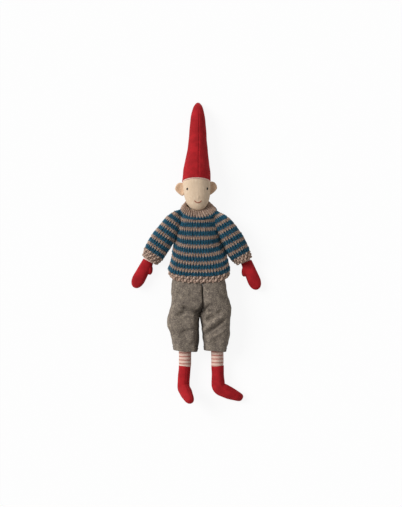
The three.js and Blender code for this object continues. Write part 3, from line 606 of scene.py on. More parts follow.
def moss_stitches(u, v, row, in_course):
    """The height of moss stitch: lumps of which every other one stands up, leaning across their course."""
    leaning = u[None, :] + EDGE_SLANT * (v % 1 - 0.5)[:, None]
    stands = (row[:, None] + np.floor(leaning).astype(int)) % 2
    lump = np.sin(math.pi * (leaning % 1)) ** 0.8 * (0.35 + 0.65 * in_course)
    return np.where(stands, 1.1, 0.35) * lump + 0.1


def plain_stitches(u, in_course, gap_depth):
    """The height of plain knitting: the two legs of each stitch, and a gap beside it."""
    across = u % 1
    gap = (1 - smooth(np.minimum(across, 1 - across) / 0.3))[None, :] * gap_depth
    # The right leg stands higher than the left, so it also takes less painted shade.
    leg = (1 - 0.5 * bump_at(across, 0.5, 0.2)) * np.where(across > 0.5, 1.05, 0.8)
    return (0.3 + 0.7 * in_course) * leg[None, :] * (1 - gap)


def stitch_heights(u, v, courses, stitches, moss, draw):
    """How high the yarn stands at each point, up to about 1, no two stitches quite alike."""
    column = np.floor(u + 1e-6).astype(int) % stitches
    row = np.floor(v + 1e-6).astype(int)
    in_course = np.sin(math.pi * (v % 1))[:, None] ** 0.7
    uneven = 1 + 0.14 * draw.normal(size=(courses + 1, stitches))
    if moss:
        height = moss_stitches(u, v, row, in_course)
    else:
        gap_depth = draw.uniform(0.65, 1, size=(courses + 1, stitches))
        height = plain_stitches(u, in_course, gap_depth[row][:, np.round(u).astype(int) % stitches])
    return height * uneven[row][:, column]


def knitted(name, form, path, stitches, course, seed, share=(0.0, 1.0), moss=False, stripes=(0, 1),
            widths=None, place=None, folds=0.0, shade=None):
    """Knitting over a form. The path runs down it as (place, how far inside), and share is how much of the
    way round it goes. moss is for moss stitch, stripes are the courses of blue and of beige, counted from the
    end of the path, and widths are a stitch's widths in the middle of the front, at the path's start and end.
    place moves the finished grid, folds is the depth of a soft unevenness, and shade says how much shade is
    painted on the knitting where it lies in a deep fold."""
    path = np.array(path, float)
    length = path_length(path)
    courses = max(round(length[-1] / course), 1)
    closed = share[1] - share[0] > 0.999
    draw = np.random.default_rng(seed)
    columns = round((share[1] - share[0]) * stitches * ACROSS)
    u = np.linspace(share[0] * stitches, share[1] * stitches, columns + 1)
    u = u[:-1] if closed else u
    v = np.arange(courses * ALONG + 1) / ALONG
    point_down = (0 if moss else STITCH_POINT) * (1 - np.abs(2 * (u % 1) - 1))
    level = np.clip(v[:, None] + point_down[None, :] - STITCH_POINT / 2, 0, courses)
    measured = level / courses * length[-1]
    y = np.interp(measured, length, path[:, 0])
    inside = np.interp(measured, length, path[:, 1])
    even = np.linspace(*(widths or (0, 0)), len(v)) * stitches / 4
    row_y = np.interp(v / courses * length[-1], length, path[:, 0])
    angle = np.stack([form.angles(*row, u / stitches) for row in zip(row_y, even)])
    base = form.point(y, angle)
    soft = waves(base, SOFT_FOLD, seed) * folds
    base = base + form.normal(y, angle) * (soft - inside)[..., None]
    normal, _ = outward(base, closed)
    height = stitch_heights(u, v, courses, stitches, moss, draw)
    # How light the yarn is painted: low between the stitches and in the painted shade of the folds.
    relief = height if shade is None else height * (1 - shade(y, angle))
    points = base + normal * ((EDGE_RISE if moss else YARN_RISE) * (height - 0.5))[..., None]
    points = points + draw.normal(size=points.shape) * YARN_ROUGH
    points = rest_on_floor(points if place is None else place(points))

    def choose(row):
        from_end = courses - 1 - row // ALONG
        return (from_end % sum(stripes) >= stripes[0]).astype(int)

    return skin(name, points, [blue_yarn, beige_yarn], closed, choose, relief=relief)


def declare(obj, body, nodes):
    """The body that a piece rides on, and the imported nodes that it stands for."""
    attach(obj, body)
    if nodes:
        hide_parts(*nodes)


def jumper():
    """The jumper's body in its front and back, and its hem."""
    join = HEM_Y + HEM_BAND
    form = Form([
        (HEM_Y - 2, 0.4, -0.5, 41.6, 48, HEM_DIP, HEM_LIFT, 0.72),
        (HEM_Y + 3, 0.3, -0.5, 41.9, 49, HEM_DIP, HEM_LIFT, 0.72),
        (join, 0.1, -0.5, 42.1, 49.2, -11.9, HEM_LIFT, 0.72),
        (-23, 0, -0.5, 42.6, 47, -12.8, -3, 0.75),
        (-11, 0.3, -0.5, 43, 44.7, -13.2, -1, 0.82),
        (-4, 0.4, -0.5, 43.2, 43.4, -13.1, 0, 0.85),
        (3, -0.3, -0.5, 43.3, 41.5, -12.8, 0, 0.88, 0.9),
        (13, -1.6, -0.5, 43.3, 38.5, -12.1, 0, 0.94, 0.75),
        (19, -1.6, -0.5, 43.2, 35.6, -11.6, 0, 0.98, 0.6),
        (33, -1.6, -0.5, 43.1, 35.2, -10, 0, 1, 0.4),
        (45, -1.9, -0.4, 42.9, 33.2, -8.6, 2, 1, 0.35),
        (52, -1.8, -0.3, 42.6, 31.4, -8, 3, 1, 0.4),
        (57.4, -1.5, -0.2, 42.3, 29.5, -9, 4, 1, 0.6),
        (NECK_Y + 1, -1.3, 0.3, 41.4, 26, -12, 7, 1, 0.9),
    ])

    # Painted shade on the body's sides, under the arms.
    def painted_fold_shade(y, angle):
        beside = smooth((np.abs(np.sin(angle)) - 0.8) / 0.17) * smooth((y + 12) / 12)
        return beside * np.where(np.sin(angle) > 0, BODY_SHADE["right"], BODY_SHADE["left"])

    for name, share in (("front", (-0.25, 0.25)), ("back", (0.25, 0.75))):
        path = [(y, 0) for y in np.linspace(NECK_Y, join, 50)]
        obj = knitted(f"jumper_{name}", form, path, BODY_STITCHES, BODY_COURSE, seed=3, share=share,
                      widths=BODY_WIDTHS, stripes=(BLUE_COURSES, BEIGE_COURSES), folds=0.7, shade=painted_fold_shade)
        declare(obj, "torso", [f"sweater_{name}"])
    path = [(join + 1.5, 1.2), (join, 0.1), *turned_edge(HEM_Y, -1, TUCK)]
    hem = knitted("jumper_hem", form, path, BODY_STITCHES, EDGE_COURSE, seed=5, moss=True, widths=HEM_WIDTHS)
    declare(hem, "torso", ["sweater_hem"])


def neckband():
    """The neckband round the neck, with its upper edge turned in and down."""
    form = Form([
        (61, -1, -1.4, 44.2, 30.4, -14.8, 7),
        (65, -1, -1, 43.8, 29.4, -14.4, 7.6),
        (68.5, -1.5, 0.6, 42, 27.2, -13.8, 8.4),
        (72.5, -2.4, 1.9, 38, 23.2, -13.4, 8.8),
        (76, -3.1, 3.6, 34, 19.8, -13.2, 8.6),
        (78.5, -3.3, 4.8, 32, 17.7, -13.2, 8.2),
    ])
    path = [(73, 2.7), (76, 2.5), *turned_edge(77.4, 1, 4)[::-1][1:], (64.4, 0), (62.6, 1.7)]
    band = knitted("jumper_neckband", form, path, NECK_STITCHES, NECK_COURSE, seed=7, stripes=NECK_STRIPES)
    declare(band, "torso", ["sweater_neckband"])


def joint_place(name):
    """Where a packed joint lies, in millimetres."""
    found = next(j for j in frame["joints"] if j["name"] == name)
    return np.array(found["pos_m"]) / MM


def along_arm(word, turn=0.0, down=0.0):
    """Moves points from an arm's own frame, where it hangs along -y from its pivot, to its place. A hand is
    turned in degrees, that far down."""
    side = SIDES[word]
    pivot = joint_place(f"{word}_arm_swing")

    def place(points):
        if down:
            points = spun(points, side * math.radians(turn)) - np.array([0, down, 0])
        return spun(points, side * math.radians(ARM_ANGLE[word])) + pivot

    return place


# A sleeve's reach from the arm's axis, at places down the arm, towards the body and away from it, and its
# back and front
SLEEVE_ROWS = {
    "left": (
        [(SLEEVE_TOP, 4.5), (22, 7.5), (16, 11.2), (8, 14.6), (0, 16.8), (-20, 18.4), (-40, 18.9),
         (-55, 19.3), (-63.6, 18.4), (CUFF_END - 1, 15)],
        [(SLEEVE_TOP, 0.5), (22, 3), (16, 8.2), (8, 11.8), (0, 14.8), (-20, 17), (-40, 18.6), (-55, 18.2),
         (-63.6, 16.6), (CUFF_END - 1, 12.4)],
    ),
    "right": (
        [(SLEEVE_TOP, 4.5), (22, 7.5), (16, 11.2), (8, 14.6), (0, 16.8), (-20, 18), (-40, 18), (-55, 17.4),
         (-63.6, 16), (CUFF_END - 1, 11.6)],
        [(SLEEVE_TOP, -0.5), (22, 1.4), (16, 5.2), (8, 10.6), (0, 14.2), (-20, 18.2), (-40, 19.6),
         (-55, 18.8), (-63.6, 17.8), (CUFF_END - 1, 15.4)],
    ),
}
SLEEVE_DEPTHS = [(-5, 2), (-8, 4.5), (-12, 9.5), (-14.8, 13.8), (-16.4, 16), (-17.6, 15.4), (-19.4, 12),
                 (-20.8, 8.6), (-21.2, 6.6), (-21.2, 5)]
# Where the random unevenness of each sleeve starts
SLEEVE_SEED = {"left": 11, "right": 13}


def sleeve(word):
    """One sleeve, from the neck down, and its cuff."""
    near, far = SLEEVE_ROWS[word]
    rows = []
    for (y, inner), (_, outer), (back, front) in zip(near, far, SLEEVE_DEPTHS):
        middle = (outer - inner) / 2 * SIDES[word]
        rows.append((y, middle, back, front, (inner + outer) / 2 - 0.7))
    form = Form(rows)
    place = along_arm(word)
    seed = SLEEVE_SEED[word]

    # Painted shade on the sleeve's side next to the body.
    def painted_fold_shade(y, angle):
        beside = smooth((-np.sin(angle) * SIDES[word] - 0.6) / 0.3) * (np.cos(angle) > -0.3)
        return SLEEVE_SHADE * beside * smooth((y + SLEEVE_TOUCHES[word]) / 12)

    end = SLEEVE_END[word]
    path = [(y, 0) for y in np.linspace(SLEEVE_TOP, end, 50)]
    obj = knitted(f"{word}_sleeve_knit", form, path, SLEEVE_STITCHES, SLEEVE_COURSE[word],
                  seed=seed, place=place, stripes=(BLUE_COURSES, BEIGE_COURSES), folds=0.6, shade=painted_fold_shade)
    pivot = joint_place(f"{word}_arm_swing")
    down = place(np.array([0.0, -1.0, 0.0])) - pivot
    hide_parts(f"{word}_sleeve")
    (pivot - BEND_ABOVE * down) * MM
    (pivot + BEND_BELOW * down) * MM
    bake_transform(obj)
    path = [(end + 1.5, 1.2), (end, 0.1), *turned_edge(CUFF_END, -1, TUCK)]
    cuff = knitted(f"{word}_cuff_knit", form, path, SLEEVE_STITCHES, EDGE_COURSE, seed=seed + 1, moss=True,
                   place=place)
    declare(cuff, f"{word}_arm", [f"{word}_cuff"])


def ring_grid(form, places, columns):
    """Points all the way round a form at each place, evenly spaced."""
    share = np.arange(columns) / columns
    return np.stack([form.point(np.full(columns, y), form.angles(y, 0, share)) for y in places])


def ring_at(form, y, columns):
    """A ring round a form, with one just below it, and their outward directions."""
    band = ring_grid(form, [y, y - 0.5], columns)
    return band, outward(band, True)[0]


def stuffed_arm(word):
    """The pale stuffed arm inside the sleeve, of which a strip shows above the mitten."""
    shift = SIDES[word] * MITTEN_SHIFT[word]
    form = Form([
        (ARM_TOP, 0, -3, 3, 1.5),
        (8.5, 0, -8, 8, 6),
        (0, 0, -13, 13, 12.5),
        (-22, 0, -14, 7, 10.5),
        (-50, shift * 0.4, -17.2, 0.5, 10.1),
        (-70, shift * 0.8, -18.8, -6.2, 8.8),
        (-ARM_LENGTH - 3, shift, -19.2, -9, 7.4),
        (-ARM_LENGTH - ARM_TUCK, shift, -16, -11, 4),
    ])
    points = along_arm(word)(ring_grid(form, np.linspace(ARM_TOP, -ARM_LENGTH - ARM_TUCK, 60), 40))
    obj = skin(f"{word}_stuffed_arm", points, [pale_cloth])
    declare(obj, f"{word}_arm", [f"{word}_arm_skin", f"{word}_arm_filling"])


def ball(middle, size, turn):
    """A grid of points over an ellipsoid, turned about z."""
    around, down = 32, 20
    ring = np.linspace(0, 2 * math.pi, around, endpoint=False)
    rise = np.linspace(-math.pi / 2, math.pi / 2, down)
    x = np.cos(rise)[:, None] * np.cos(ring)[None, :] * size[0] / 2
    z = np.cos(rise)[:, None] * np.sin(ring)[None, :] * size[2] / 2
    y = np.repeat(np.sin(rise)[:, None] * size[1] / 2, around, 1)
    return spun(np.stack([x, y, z], -1), turn) + np.array(middle)


def union(name, grids, voxel, smooth_steps, materials):
    """One smooth skin round several closed grids of points."""
    points, faces = joined(grids, capped=True)
    mesh = bpy.data.meshes.new(name)
    mesh.from_pydata((points * MM).tolist(), [], faces)
    obj = bpy.data.objects.new(name, mesh)
    bpy.context.scene.collection.objects.link(obj)
    remesh = obj.modifiers.new("union", "REMESH")
    remesh.mode, remesh.voxel_size = "VOXEL", voxel * MM
    relax = obj.modifiers.new("relax", "SMOOTH")
    relax.factor, relax.iterations = 0.5, smooth_steps
    bpy.context.view_layer.update()
    found = obj.evaluated_get(bpy.context.evaluated_depsgraph_get())
    obj.data = bpy.data.meshes.new_from_object(found)
    obj.modifiers.clear()
    bpy.data.meshes.remove(mesh)
    obj.data.materials.clear()
    for material in materials:
        obj.data.materials.append(material)
    obj.data.shade_smooth()
    return obj


def open_end(obj, y, middle):
    """Cuts off a mesh above a place and turns its edge in, towards the middle."""
    shape = bmesh.new()
    shape.from_mesh(obj.data)
    cut = [*shape.verts, *shape.edges, *shape.faces]
    bmesh.ops.bisect_plane(shape, geom=cut, plane_co=(0, y * MM, 0), plane_no=(0, 1, 0), clear_outer=True)
    for inward, down in ((0.1, 0.1), (0.14, -0.5), (0.1, -4)):
        edge = [e for e in shape.edges if e.is_boundary]
        made = bmesh.ops.extrude_edge_only(shape, edges=edge)["geom"]
        for vert in (v for v in made if isinstance(v, bmesh.types.BMVert)):
            vert.co += (Vector(middle * MM) - vert.co) * inward
            vert.co.y += down * MM
    bmesh.ops.recalc_face_normals(shape, faces=shape.faces)
    shape.to_mesh(obj.data)
    shape.free()


def reshape(obj, change):
    """Applies a change to all of a mesh's points at once, in millimetres."""
    place = np.empty(len(obj.data.vertices) * 3, np.float32)
    obj.data.vertices.foreach_get("co", place)
    points = change(place.reshape(-1, 3).astype(float) / MM)
    obj.data.vertices.foreach_set("co", (points * MM).astype(np.float32).ravel())
    obj.data.update()


# A mitten's places down from the wrist, with its half width there and how thick it is
MITTEN_ROWS = [(MITTEN_WRIST, 9, 0.9), (2.6, 9.2, 0.92), (-8, 9.8, 0.97), (-17, 10.2, 1), (-30, 10.8, 1),
               (-36, 10, 0.97), (-40, 8.6, 0.9), (-43, 6.6, 0.78), (-45, 4.2, 0.6), (MITTEN_TIP, 1.4, 0.3)]


def mitten(word):
    """A stuffed mitten with its thumb, sewn from two layers: the seam runs round its edge."""
    side = SIDES[word]
    shift = side * MITTEN_SHIFT[word]
    middle = MITTEN_BACK + MITTEN_DEPTH / 2
    rows = []
    for y, half, thick in MITTEN_ROWS:
        back = MITTEN_BACK + MITTEN_DEPTH * (1 - thick) / 2
        front = MITTEN_BACK + MITTEN_DEPTH * (1 + thick) / 2
        rows.append((y, shift, back, front, half, 0, 0, 0.92))
    hand = ring_grid(Form(rows), np.linspace(MITTEN_WRIST, MITTEN_TIP, 76), 48)
    root = shift - side * THUMB_ASIDE, -THUMB_DOWN - THUMB_DROP[word], middle
    thumb = ball(root, THUMB_SIZE, -side * THUMB_TURN)
    place = along_arm(word, HAND_TURN[word], ARM_LENGTH + 0.3)
    obj = union(f"{word}_red_mitten", [hand, thumb], voxel=0.75, smooth_steps=10, materials=[red_felt])
    open_end(obj, MITTEN_OPEN, np.array([shift, MITTEN_OPEN, middle]))

    def change(points):
        edge = bump_at(points[:, 2], middle, 0.9)
        out = points - np.array([shift, -22, middle])
        out[:, 2] = 0
        points = points - unit(out) * (edge * 0.45)[:, None]
        points[:, 2] += waves(points, 16, 21 + side) * 0.25
        return rest_on_floor(place(points))

    reshape(obj, change)
    remember(obj)
    declare(obj, f"{word}_arm", [f"{word}_mitten", f"{word}_mitten_filling"])


HEAD_Z, HEAD_DEEP, HEAD_HALF = 21.5, 22, 22.7
HAT_EDGE, HAT_RISE, HAT_LENGTH = 110.9, 5.9, 130.4
# The head's places up from the chin, with its middle and half width there, and how full it is to the front
HEAD_ROWS = [(63.6, -0.9, 1.2, 0.3), (64.4, -1, 5.6, 0.52), (66, -1.3, 9.1, 0.66), (68.4, -1.8, 12, 0.75),
             (72, -2.3, 15, 0.83), (76, -2.7, 17.4, 0.88), (83.5, -2.9, 19.8, 0.94), (89.4, -3.1, 21.2, 0.97),
             (101, -3.6, 22.5, 1), (111, -4, 22.7, 1.03), (115, -4, 22.3, 1.01), (120, -4, 20.8, 0.93)]
# The power of the head's rings, under 1 for a flatter face, and how far round the seam stands from the front
FACE_FLAT = 0.9
SEAM_TURN = 0.14
# The nose's and the brow's middle, their half widths and how high they stand
NOSE_X, NOSE_Y, NOSE_HALF, NOSE_HIGH = -1.1, 84.2, 3.4, 0.75
BROW_Y, BROW_HALF, BROW_HIGH = 97, 8, 0.4
# How wide and deep the seam of the face is drawn in
SEAM_HALF, SEAM_DEEP = 0.8, 0.16
# Each eye's middle, how far apart its stitches are, half the longest one's length, and the thread's radius
EYES = {"left": (-18.8, 98.2), "right": (13.3, 98.8)}
EYE_APART, EYE_HALF, EYE_THREAD = 0.4, 2.2, 0.38
# The mouth's middle, its width and how far its corners rise, its stitches, how far they overlap, and the
# thread's radius
MOUTH_X, MOUTH_Y, MOUTH_WIDTH, MOUTH_RISE = -1.7, 76, 11, 3.1
MOUTH_STITCHES, MOUTH_OVERLAP, MOUTH_THREAD = 6, 0.06, 0.58


def head_form():
    """The head's rings."""
    rows = []
    for y, middle, half, full in HEAD_ROWS:
        back, front = HEAD_Z - HEAD_DEEP * half / HEAD_HALF, HEAD_Z + HEAD_DEEP * full
        rows.append((y, middle, back, front, half, 0, 0, FACE_FLAT))
    return Form(rows)


def halves(columns):
    """The right and the left half of the head or the hat, each with its angles from seam to seam."""
    front, back, round_again = SEAM_TURN, math.pi - SEAM_TURN, 2 * math.pi + SEAM_TURN
    return ("right", np.linspace(front, back, columns)), ("left", np.linspace(back, round_again, columns))


def half_nodes(part, word):
    """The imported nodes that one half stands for. The left one has the filling too."""
    return [f"{part}_{word}_panel"] + ([f"{part}_filling"] if word == "left" else [])


def rings(form, places, angle):
    """Points round a form at each place, at the same angles."""
    return np.stack([form.point(np.full(len(angle), y), angle) for y in places])


def face_skin(points):
    """The nose, and the seam down the middle of the face, on points of one half of the head."""
    normal, _ = outward(points, False)
    front = points[..., 2] > HEAD_Z
    x, y = points[..., 0] - NOSE_X, points[..., 1]
    bridge, tip = bump_at(y, NOSE_Y, 6), bump_at(y, NOSE_Y, NOSE_HALF)
    nose = bump_at(x, 0, NOSE_HALF) * np.where(y > NOSE_Y, bridge, tip) * front
    brow = bump_at(x, 0, BROW_HALF) * bump_at(y, BROW_Y, 14) * front
    to_seam = [np.linalg.norm(points - points[:, end], axis=-1) for end in (slice(0, 1), slice(-1, None))]
    seam = bump_at(np.minimum(*to_seam), 0, SEAM_HALF)
    soft = waves(points, 30, 31) * 0.25
    return points + normal * (NOSE_HIGH * nose + BROW_HIGH * brow - SEAM_DEEP * seam + soft)[..., None]


def head():
    """The head in its two halves, sewn down the middle of the face and of the back."""
    low, top = HEAD_ROWS[0][0], HAT_EDGE + 9
    places = low + (top - low) * np.linspace(0, 1, 110) ** 1.5
    for word, angle in halves(90):
        points = face_skin(rings(head_form(), places, angle))
        obj = skin(f"{word}_half_of_head", rest_on_floor(points), [linen], closed=False)
        declare(obj, "head", half_nodes("head", word))


def face_point(x, y, proud):
    """A point of the face's front, and a little proud of it."""
    form = head_form()
    middle, _, _, half = (float(v) for v in form.at(np.array(y, float))[:4])
    aside = (x - middle) / half
    turn = math.copysign(math.asin(min(1, abs(aside)) ** (1 / FACE_FLAT)), aside)
    at, place = np.array(turn), np.array(y, float)
    return form.point(place, at) + form.normal(place, at) * proud


def strand(points, radius, sides=8):
    """The grid of a thread along points, drawn in to both ends."""
    points = np.array(points, float)
    way = unit(np.gradient(points, axis=0))
    side = unit(np.cross(way, [0, 0, 1]))
    up = np.cross(side, way)
    along = np.linspace(0, 1, len(points))
    thick = radius * np.clip(np.sqrt(1 - (2 * along - 1) ** 6), 0.12, 1)
    ring = np.linspace(0, 2 * math.pi, sides, endpoint=False)
    offset = side[:, None] * np.cos(ring)[None, :, None] + up[:, None] * np.sin(ring)[None, :, None]
    return points[:, None] + offset * thick[:, None, None]


def embroidery(name, strands, radius, material, node):
    """Several stitches as one piece."""
    points, faces = joined([strand(line, radius) for line in strands])
    obj = piece(name, points, faces, [material])
    declare(obj, "head", [node])


def eye(word):
    """Five upright satin stitches, close together, the middle one longest."""
    x, y = EYES[word]
    strands = []
    for k in range(-2, 3):
        half = EYE_HALF * math.sqrt(1 - (k / 2.9) ** 2)
        line = [face_point(x + k * EYE_APART, y + t * half, 0.5 * (1 - t**4)) for t in np.linspace(-1, 1, 9)]
        strands.append(line)
    embroidery(f"{word}_satin_eye", strands, EYE_THREAD, dark_thread, f"{word}_eye")


def mouth():
    """A smile in stem stitch."""
    strands = []
    for k in range(MOUTH_STITCHES):
        start = -1 + 2 * k / MOUTH_STITCHES - MOUTH_OVERLAP
        end = -1 + 2 * (k + 1) / MOUTH_STITCHES + MOUTH_OVERLAP
        line = []
        for t in np.linspace(start, end, 9):
            x, y = MOUTH_X + t * MOUTH_WIDTH / 2, MOUTH_Y + MOUTH_RISE * t * t
            line.append(face_point(x, y, 0.35 + 0.18 * math.sin(math.pi * (t - start) / (end - start))))
        strands.append(line)
    embroidery("sewn_smile", strands, MOUTH_THREAD, mouth_thread, "mouth_stitch")


# An ear's middle, half width and half height
EAR_PLACES = {"left": (-30, 98.6, 8.9, 10.8), "right": (20.8, 100.4, 8.6, 10.8)}


def ear(word):
    """A cupped ear, broad at the top and drawn in towards its lobe by the cheek, with a rolled rim."""
    side = SIDES[word]
    x, y, half, tall = EAR_PLACES[word]
    ring = np.linspace(0, 2 * math.pi, 64, endpoint=False)
    down = np.clip(-np.sin(ring), 0, 1)
    rim_x = np.cos(ring) * half * (1 - 0.46 * down**1.4)
    rim_y = np.sin(ring) * tall
    rim_x = rim_x - 0.34 * half * down**1.2
    hollow = [(t, mix(-0.9, 1.2, smooth((t - 0.15) / 0.7)) - 1.2 * smooth((t - 0.88) / 0.12) ** 2)
              for t in (0.02, 0.2, 0.36, 0.5, 0.62, 0.72, 0.8, 0.87, 0.93, 0.97, 0.99)]
    back = [(1.0, -0.5), (0.99, -1.2), (0.95, -2.0), (0.86, -2.7), (0.7, -3.1), (0.45, -3.3), (0.02, -3.4)]
    grid = []
    for t, z in hollow + back:
        deep = -0.3 if z > -1.5 and t < 0.9 else 0
        px, py = rim_x * t + deep * (1 - t), rim_y * t
        grid.append(np.stack([side * px + x, py + y, z + HEAD_Z + 2 - 0.12 * px], -1))
    obj = skin(f"{word}_cupped_ear", np.array(grid), [shaded_ear_linen])
    declare(obj, "head", [f"{word}_ear"])


# The hat's shares of its half width at shares of its length
HAT_TAPER = [(0, 1), (0.13, 0.95), (0.22, 0.87), (0.33, 0.76), (0.45, 0.685), (0.6, 0.61), (0.75, 0.54),
             (0.88, 0.42), (0.94, 0.32), (0.975, 0.2), (0.992, 0.11), (1, 0.03)]
HAT_HALF = 23.3
HAT_TIP_X, HAT_TIP_LIFT = -1.8, 3.4


def hat_form():
    """The hat's rings, which narrow to its tip."""
    rows = []
    for up, share in HAT_TAPER:
        half = HAT_HALF * share
        low = mix(-0.5, HAT_TIP_LIFT, smooth((up - 0.3) / 0.7))
        rise = HAT_RISE * (1 - smooth(up * 2.5))
        middle = mix(NECK_LEAN, HAT_TIP_X, smooth(up * 1.6))
        full = mix(FACE_FLAT, 1, smooth(up * 4))
        y = HAT_EDGE + HAT_LENGTH * up
        rows.append((y, middle, low, low + 2 * half, half, rise, -rise, full))
    return Form(rows)


def hat():
    """The hat in its two halves, sewn down the front and the back, with its rim turned in."""
    up = np.concatenate([np.linspace(0, 0.9, 110), np.linspace(0.9, 1, 30)[1:]])
    places = HAT_EDGE + HAT_LENGTH * up
    for word, angle in halves(60):
        outer = rings(hat_form(), places, angle)
        normal, _ = outward(outer, False)
        from_seam = np.minimum(angle - angle[0], angle[-1] - angle)
        fade = smooth((HAT_EDGE + HAT_LENGTH * 0.95 - places) / 20) * smooth((places - HAT_EDGE) / 5)
        ditch = -0.6 * bump_at(from_seam, 0, 0.07)[None, :] * fade[:, None]
        ridge = 0.15 * bump_at(from_seam, 0.13, 0.09)[None, :] * fade[:, None]
        soft = waves(outer, 26, 41) * 0.35
        outer = outer + normal * (ditch + ridge + soft)[..., None]
        rim = outer[:1] - normal[:1] * 0.7 - np.array([0, 0.35, 0])
        inside = [outer[:1] - normal[:1] * 1.5 + np.array([0, y, 0]) for y in (7, 3, 0.1)]
        points = rest_on_floor(np.concatenate([*inside, rim, outer]))
        obj = skin(f"{word}_half_of_hat", points, [red_felt], closed=False)
        declare(obj, "head", half_nodes("hat", word))


def hat_edge():
    """The pale strip under the hat's rim, folded over and sewn down."""
    angle = np.linspace(0, 2 * math.pi, 120, endpoint=False)
    ring = hat_form().point(np.full(len(angle), HAT_EDGE + 0.01), angle)
    away = ring - ring.mean(0)
    away[:, 1] = 0
    away = unit(away)
    rows = []
    for drop, inset in ((-2.5, 1.2), (0.2, 0.8), (0.9, 0.5), (1.6, 0.7), (2.1, 1.2), (2.2, 1.9), (-2, 2.5)):
        rows.append(ring - away * inset - np.array([0, drop, 0]))
    obj = skin("pale_hat_edge", rest_on_floor(np.array(rows)), [pale_cloth])
    declare(obj, "head", ["hat_edge"])


TORSO_LOW, TORSO_TOP = -55, 73.5


def torso():
    """The stuffed body inside the jumper, with its neck."""
    form = Form([
        (TORSO_LOW, 0, 16, 26, 10), (-52, 0, 8, 34, 28), (-46, 0, 5, 36.2, 35), (-26, 0, 5, 36.2, 34),
        (-8, lean(-8), 5, 36.2, 34), (15, lean(15), 3.4, 39, 32), (40, lean(40), 3.4, 39, 29),
        (50, NECK_LEAN, 5, 35, 22), (57, NECK_LEAN, 9, 31, 12), (64, NECK_LEAN, 12.5, 28.5, 9),
        (73, NECK_LEAN, 12.5, 28.5, 9), (TORSO_TOP, NECK_LEAN, 18, 25, 3),
    ])
    points = ring_grid(form, np.linspace(TORSO_LOW, TORSO_TOP, 90), 64)
    obj = skin("stuffed_torso", points, [linen])
    declare(obj, "torso", ["torso_skin", "torso_filling"])


# One half of the trousers, down the leg: the reach from the seam of its outer and inner edges
TROUSER_OUTER = {
    "left": [(TROUSER_TOP, 38.2), (-40, 42), (-50, 44.6), (-62, 46.1), (-76, 46.3), (-86, 46.4), (-95, 48),
             (-106.5, 51.6), (-113, 53), (-122, 52.4), (-130, 49.8), (-140, 47.6), (-150, 45.4), (-158, 43.2),
             (LEG_END, 42.4)],
    "right": [(TROUSER_TOP, 38.2), (-40, 40.4), (-50, 41.4), (-62, 43.6), (-76, 46.4), (-86, 49.2),
              (-95, 51.2), (-106.5, 51), (-113, 50), (-122, 49.4), (-130, 49.2), (-140, 48.2), (-150, 46.2),
              (-158, 43.8), (LEG_END, 43)],
}
TROUSER_INNER = {
    "left": [(TROUSER_TOP, 0.15), (-100, 0.15), (CROTCH_Y, 0.3), (-112, 0.5), (KNEE_Y, 0.5), (-140, 0.6),
             (-152, 1.8), (LEG_END, 4.6)],
    "right": [(TROUSER_TOP, 0.15), (-100, 0.15), (CROTCH_Y, 0.6), (-112, 1.4), (KNEE_Y, 3), (-140, 4.8),
              (-152, 6.6), (LEG_END, 7)],
}
TROUSER_BACK = [(TROUSER_TOP, 2), (-50, 1.6), (-62, 0.2), (-76, -0.4), (LEG_END, -0.4)]
TROUSER_FRONT = [(TROUSER_TOP, 38.8), (-50, 38.4), (-76, 38.3), (KNEE_Y, 38), (-138, 36), (-150, 34.2),
                 (LEG_END, 32.6)]
# How steeply the hems fall to the right, and the power of the halves' rings, along the seam above the crotch
# and elsewhere
HEM_SLOPE = 0.08
SEWN_FLAT, TROUSER_FLAT = 0.2, 0.68
# Points round each half
TROUSER_COLUMNS = 150


def seam_shift(y):
    """How far the centre seam stands to the right of the crotch, from the crotch up to the waist."""
    return through([CROTCH_Y, -89, -70, TROUSER_TOP], [0, 6, 5, 3], y)


class TrouserForm(Form):
    """A form whose side along the seam is nearly flat above the crotch, where the two halves are sewn."""

    def __init__(self, word):
        self.side = SIDES[word]
        rows = []
        for y in np.linspace(LEG_END, TROUSER_TOP, 36):
            outer, inner, back, front = (
                float(through(*zip(*sorted(r)), y))
                for r in (TROUSER_OUTER[word], TROUSER_INNER[word], TROUSER_BACK, TROUSER_FRONT))
            rows.append((y, SEAM_X + self.side * (outer + inner) / 2, back, front, (outer - inner) / 2))
        super().__init__(rows)

    def point(self, y, angle):
        middle, back, front, half = self.at(y)[:4]
        side, out = np.sin(angle), np.cos(angle)
        sewn = mix(SEWN_FLAT, TROUSER_FLAT, smooth((-97 - y) / 20))
        full = np.where(side * self.side < 0, sewn, TROUSER_FLAT)
        x = middle + half * np.sign(side) * np.abs(side) ** full
        z = (back + front) / 2 + (front - back) / 2 * np.sign(out) * np.abs(out) ** full
        slope = HEM_SLOPE * smooth((-120 - y) / 40)
        return np.stack(np.broadcast_arrays(x, y - slope * (x - middle), z), axis=-1)


# Folds in the front of each half, from the seam outwards: from x, y to x, y, half as wide as the fifth
# number, and as high as the last one
FOLDS = {
    "left": [(1, -97, 9, -104, 6, -4), (2, -101, 27, -92, 5, -3.2), (2, -108, 26, -104, 5, 2.4),
             (20, -99, 36, -105, 6, -2.6), (5, -127, 30, -133, 5, -2), (12, -119, 42, -116, 6, 1.6),
             (20, -141, 42, -134, 5, -1.6), (3, -84, 15, -72, 5, -1.4), (8, -147, 18, -158, 5, -1.2),
             (30, -146, 36, -158, 5, 1.1), (30, -70, 42, -88, 5, -1)],
    "right": [(1, -94, 8, -106, 6, -4.2), (2, -97, 22, -86, 5, -3), (4, -105, 32, -97, 5, 2.8),
              (14, -97, 33, -101, 5, -3.2), (7, -138, 42, -113, 5, -3.4), (5, -130, 40, -105, 5, 2.2),
              (13, -147, 44, -126, 5, 1.6), (3, -76, 12, -62, 5, -1.5), (10, -113, 26, -107, 5, -2.6),
              (24, -150, 34, -160, 5, -1.3), (30, -66, 44, -80, 6, -1.2), (12, -45, 16, -92, 20, 2.8)],
}


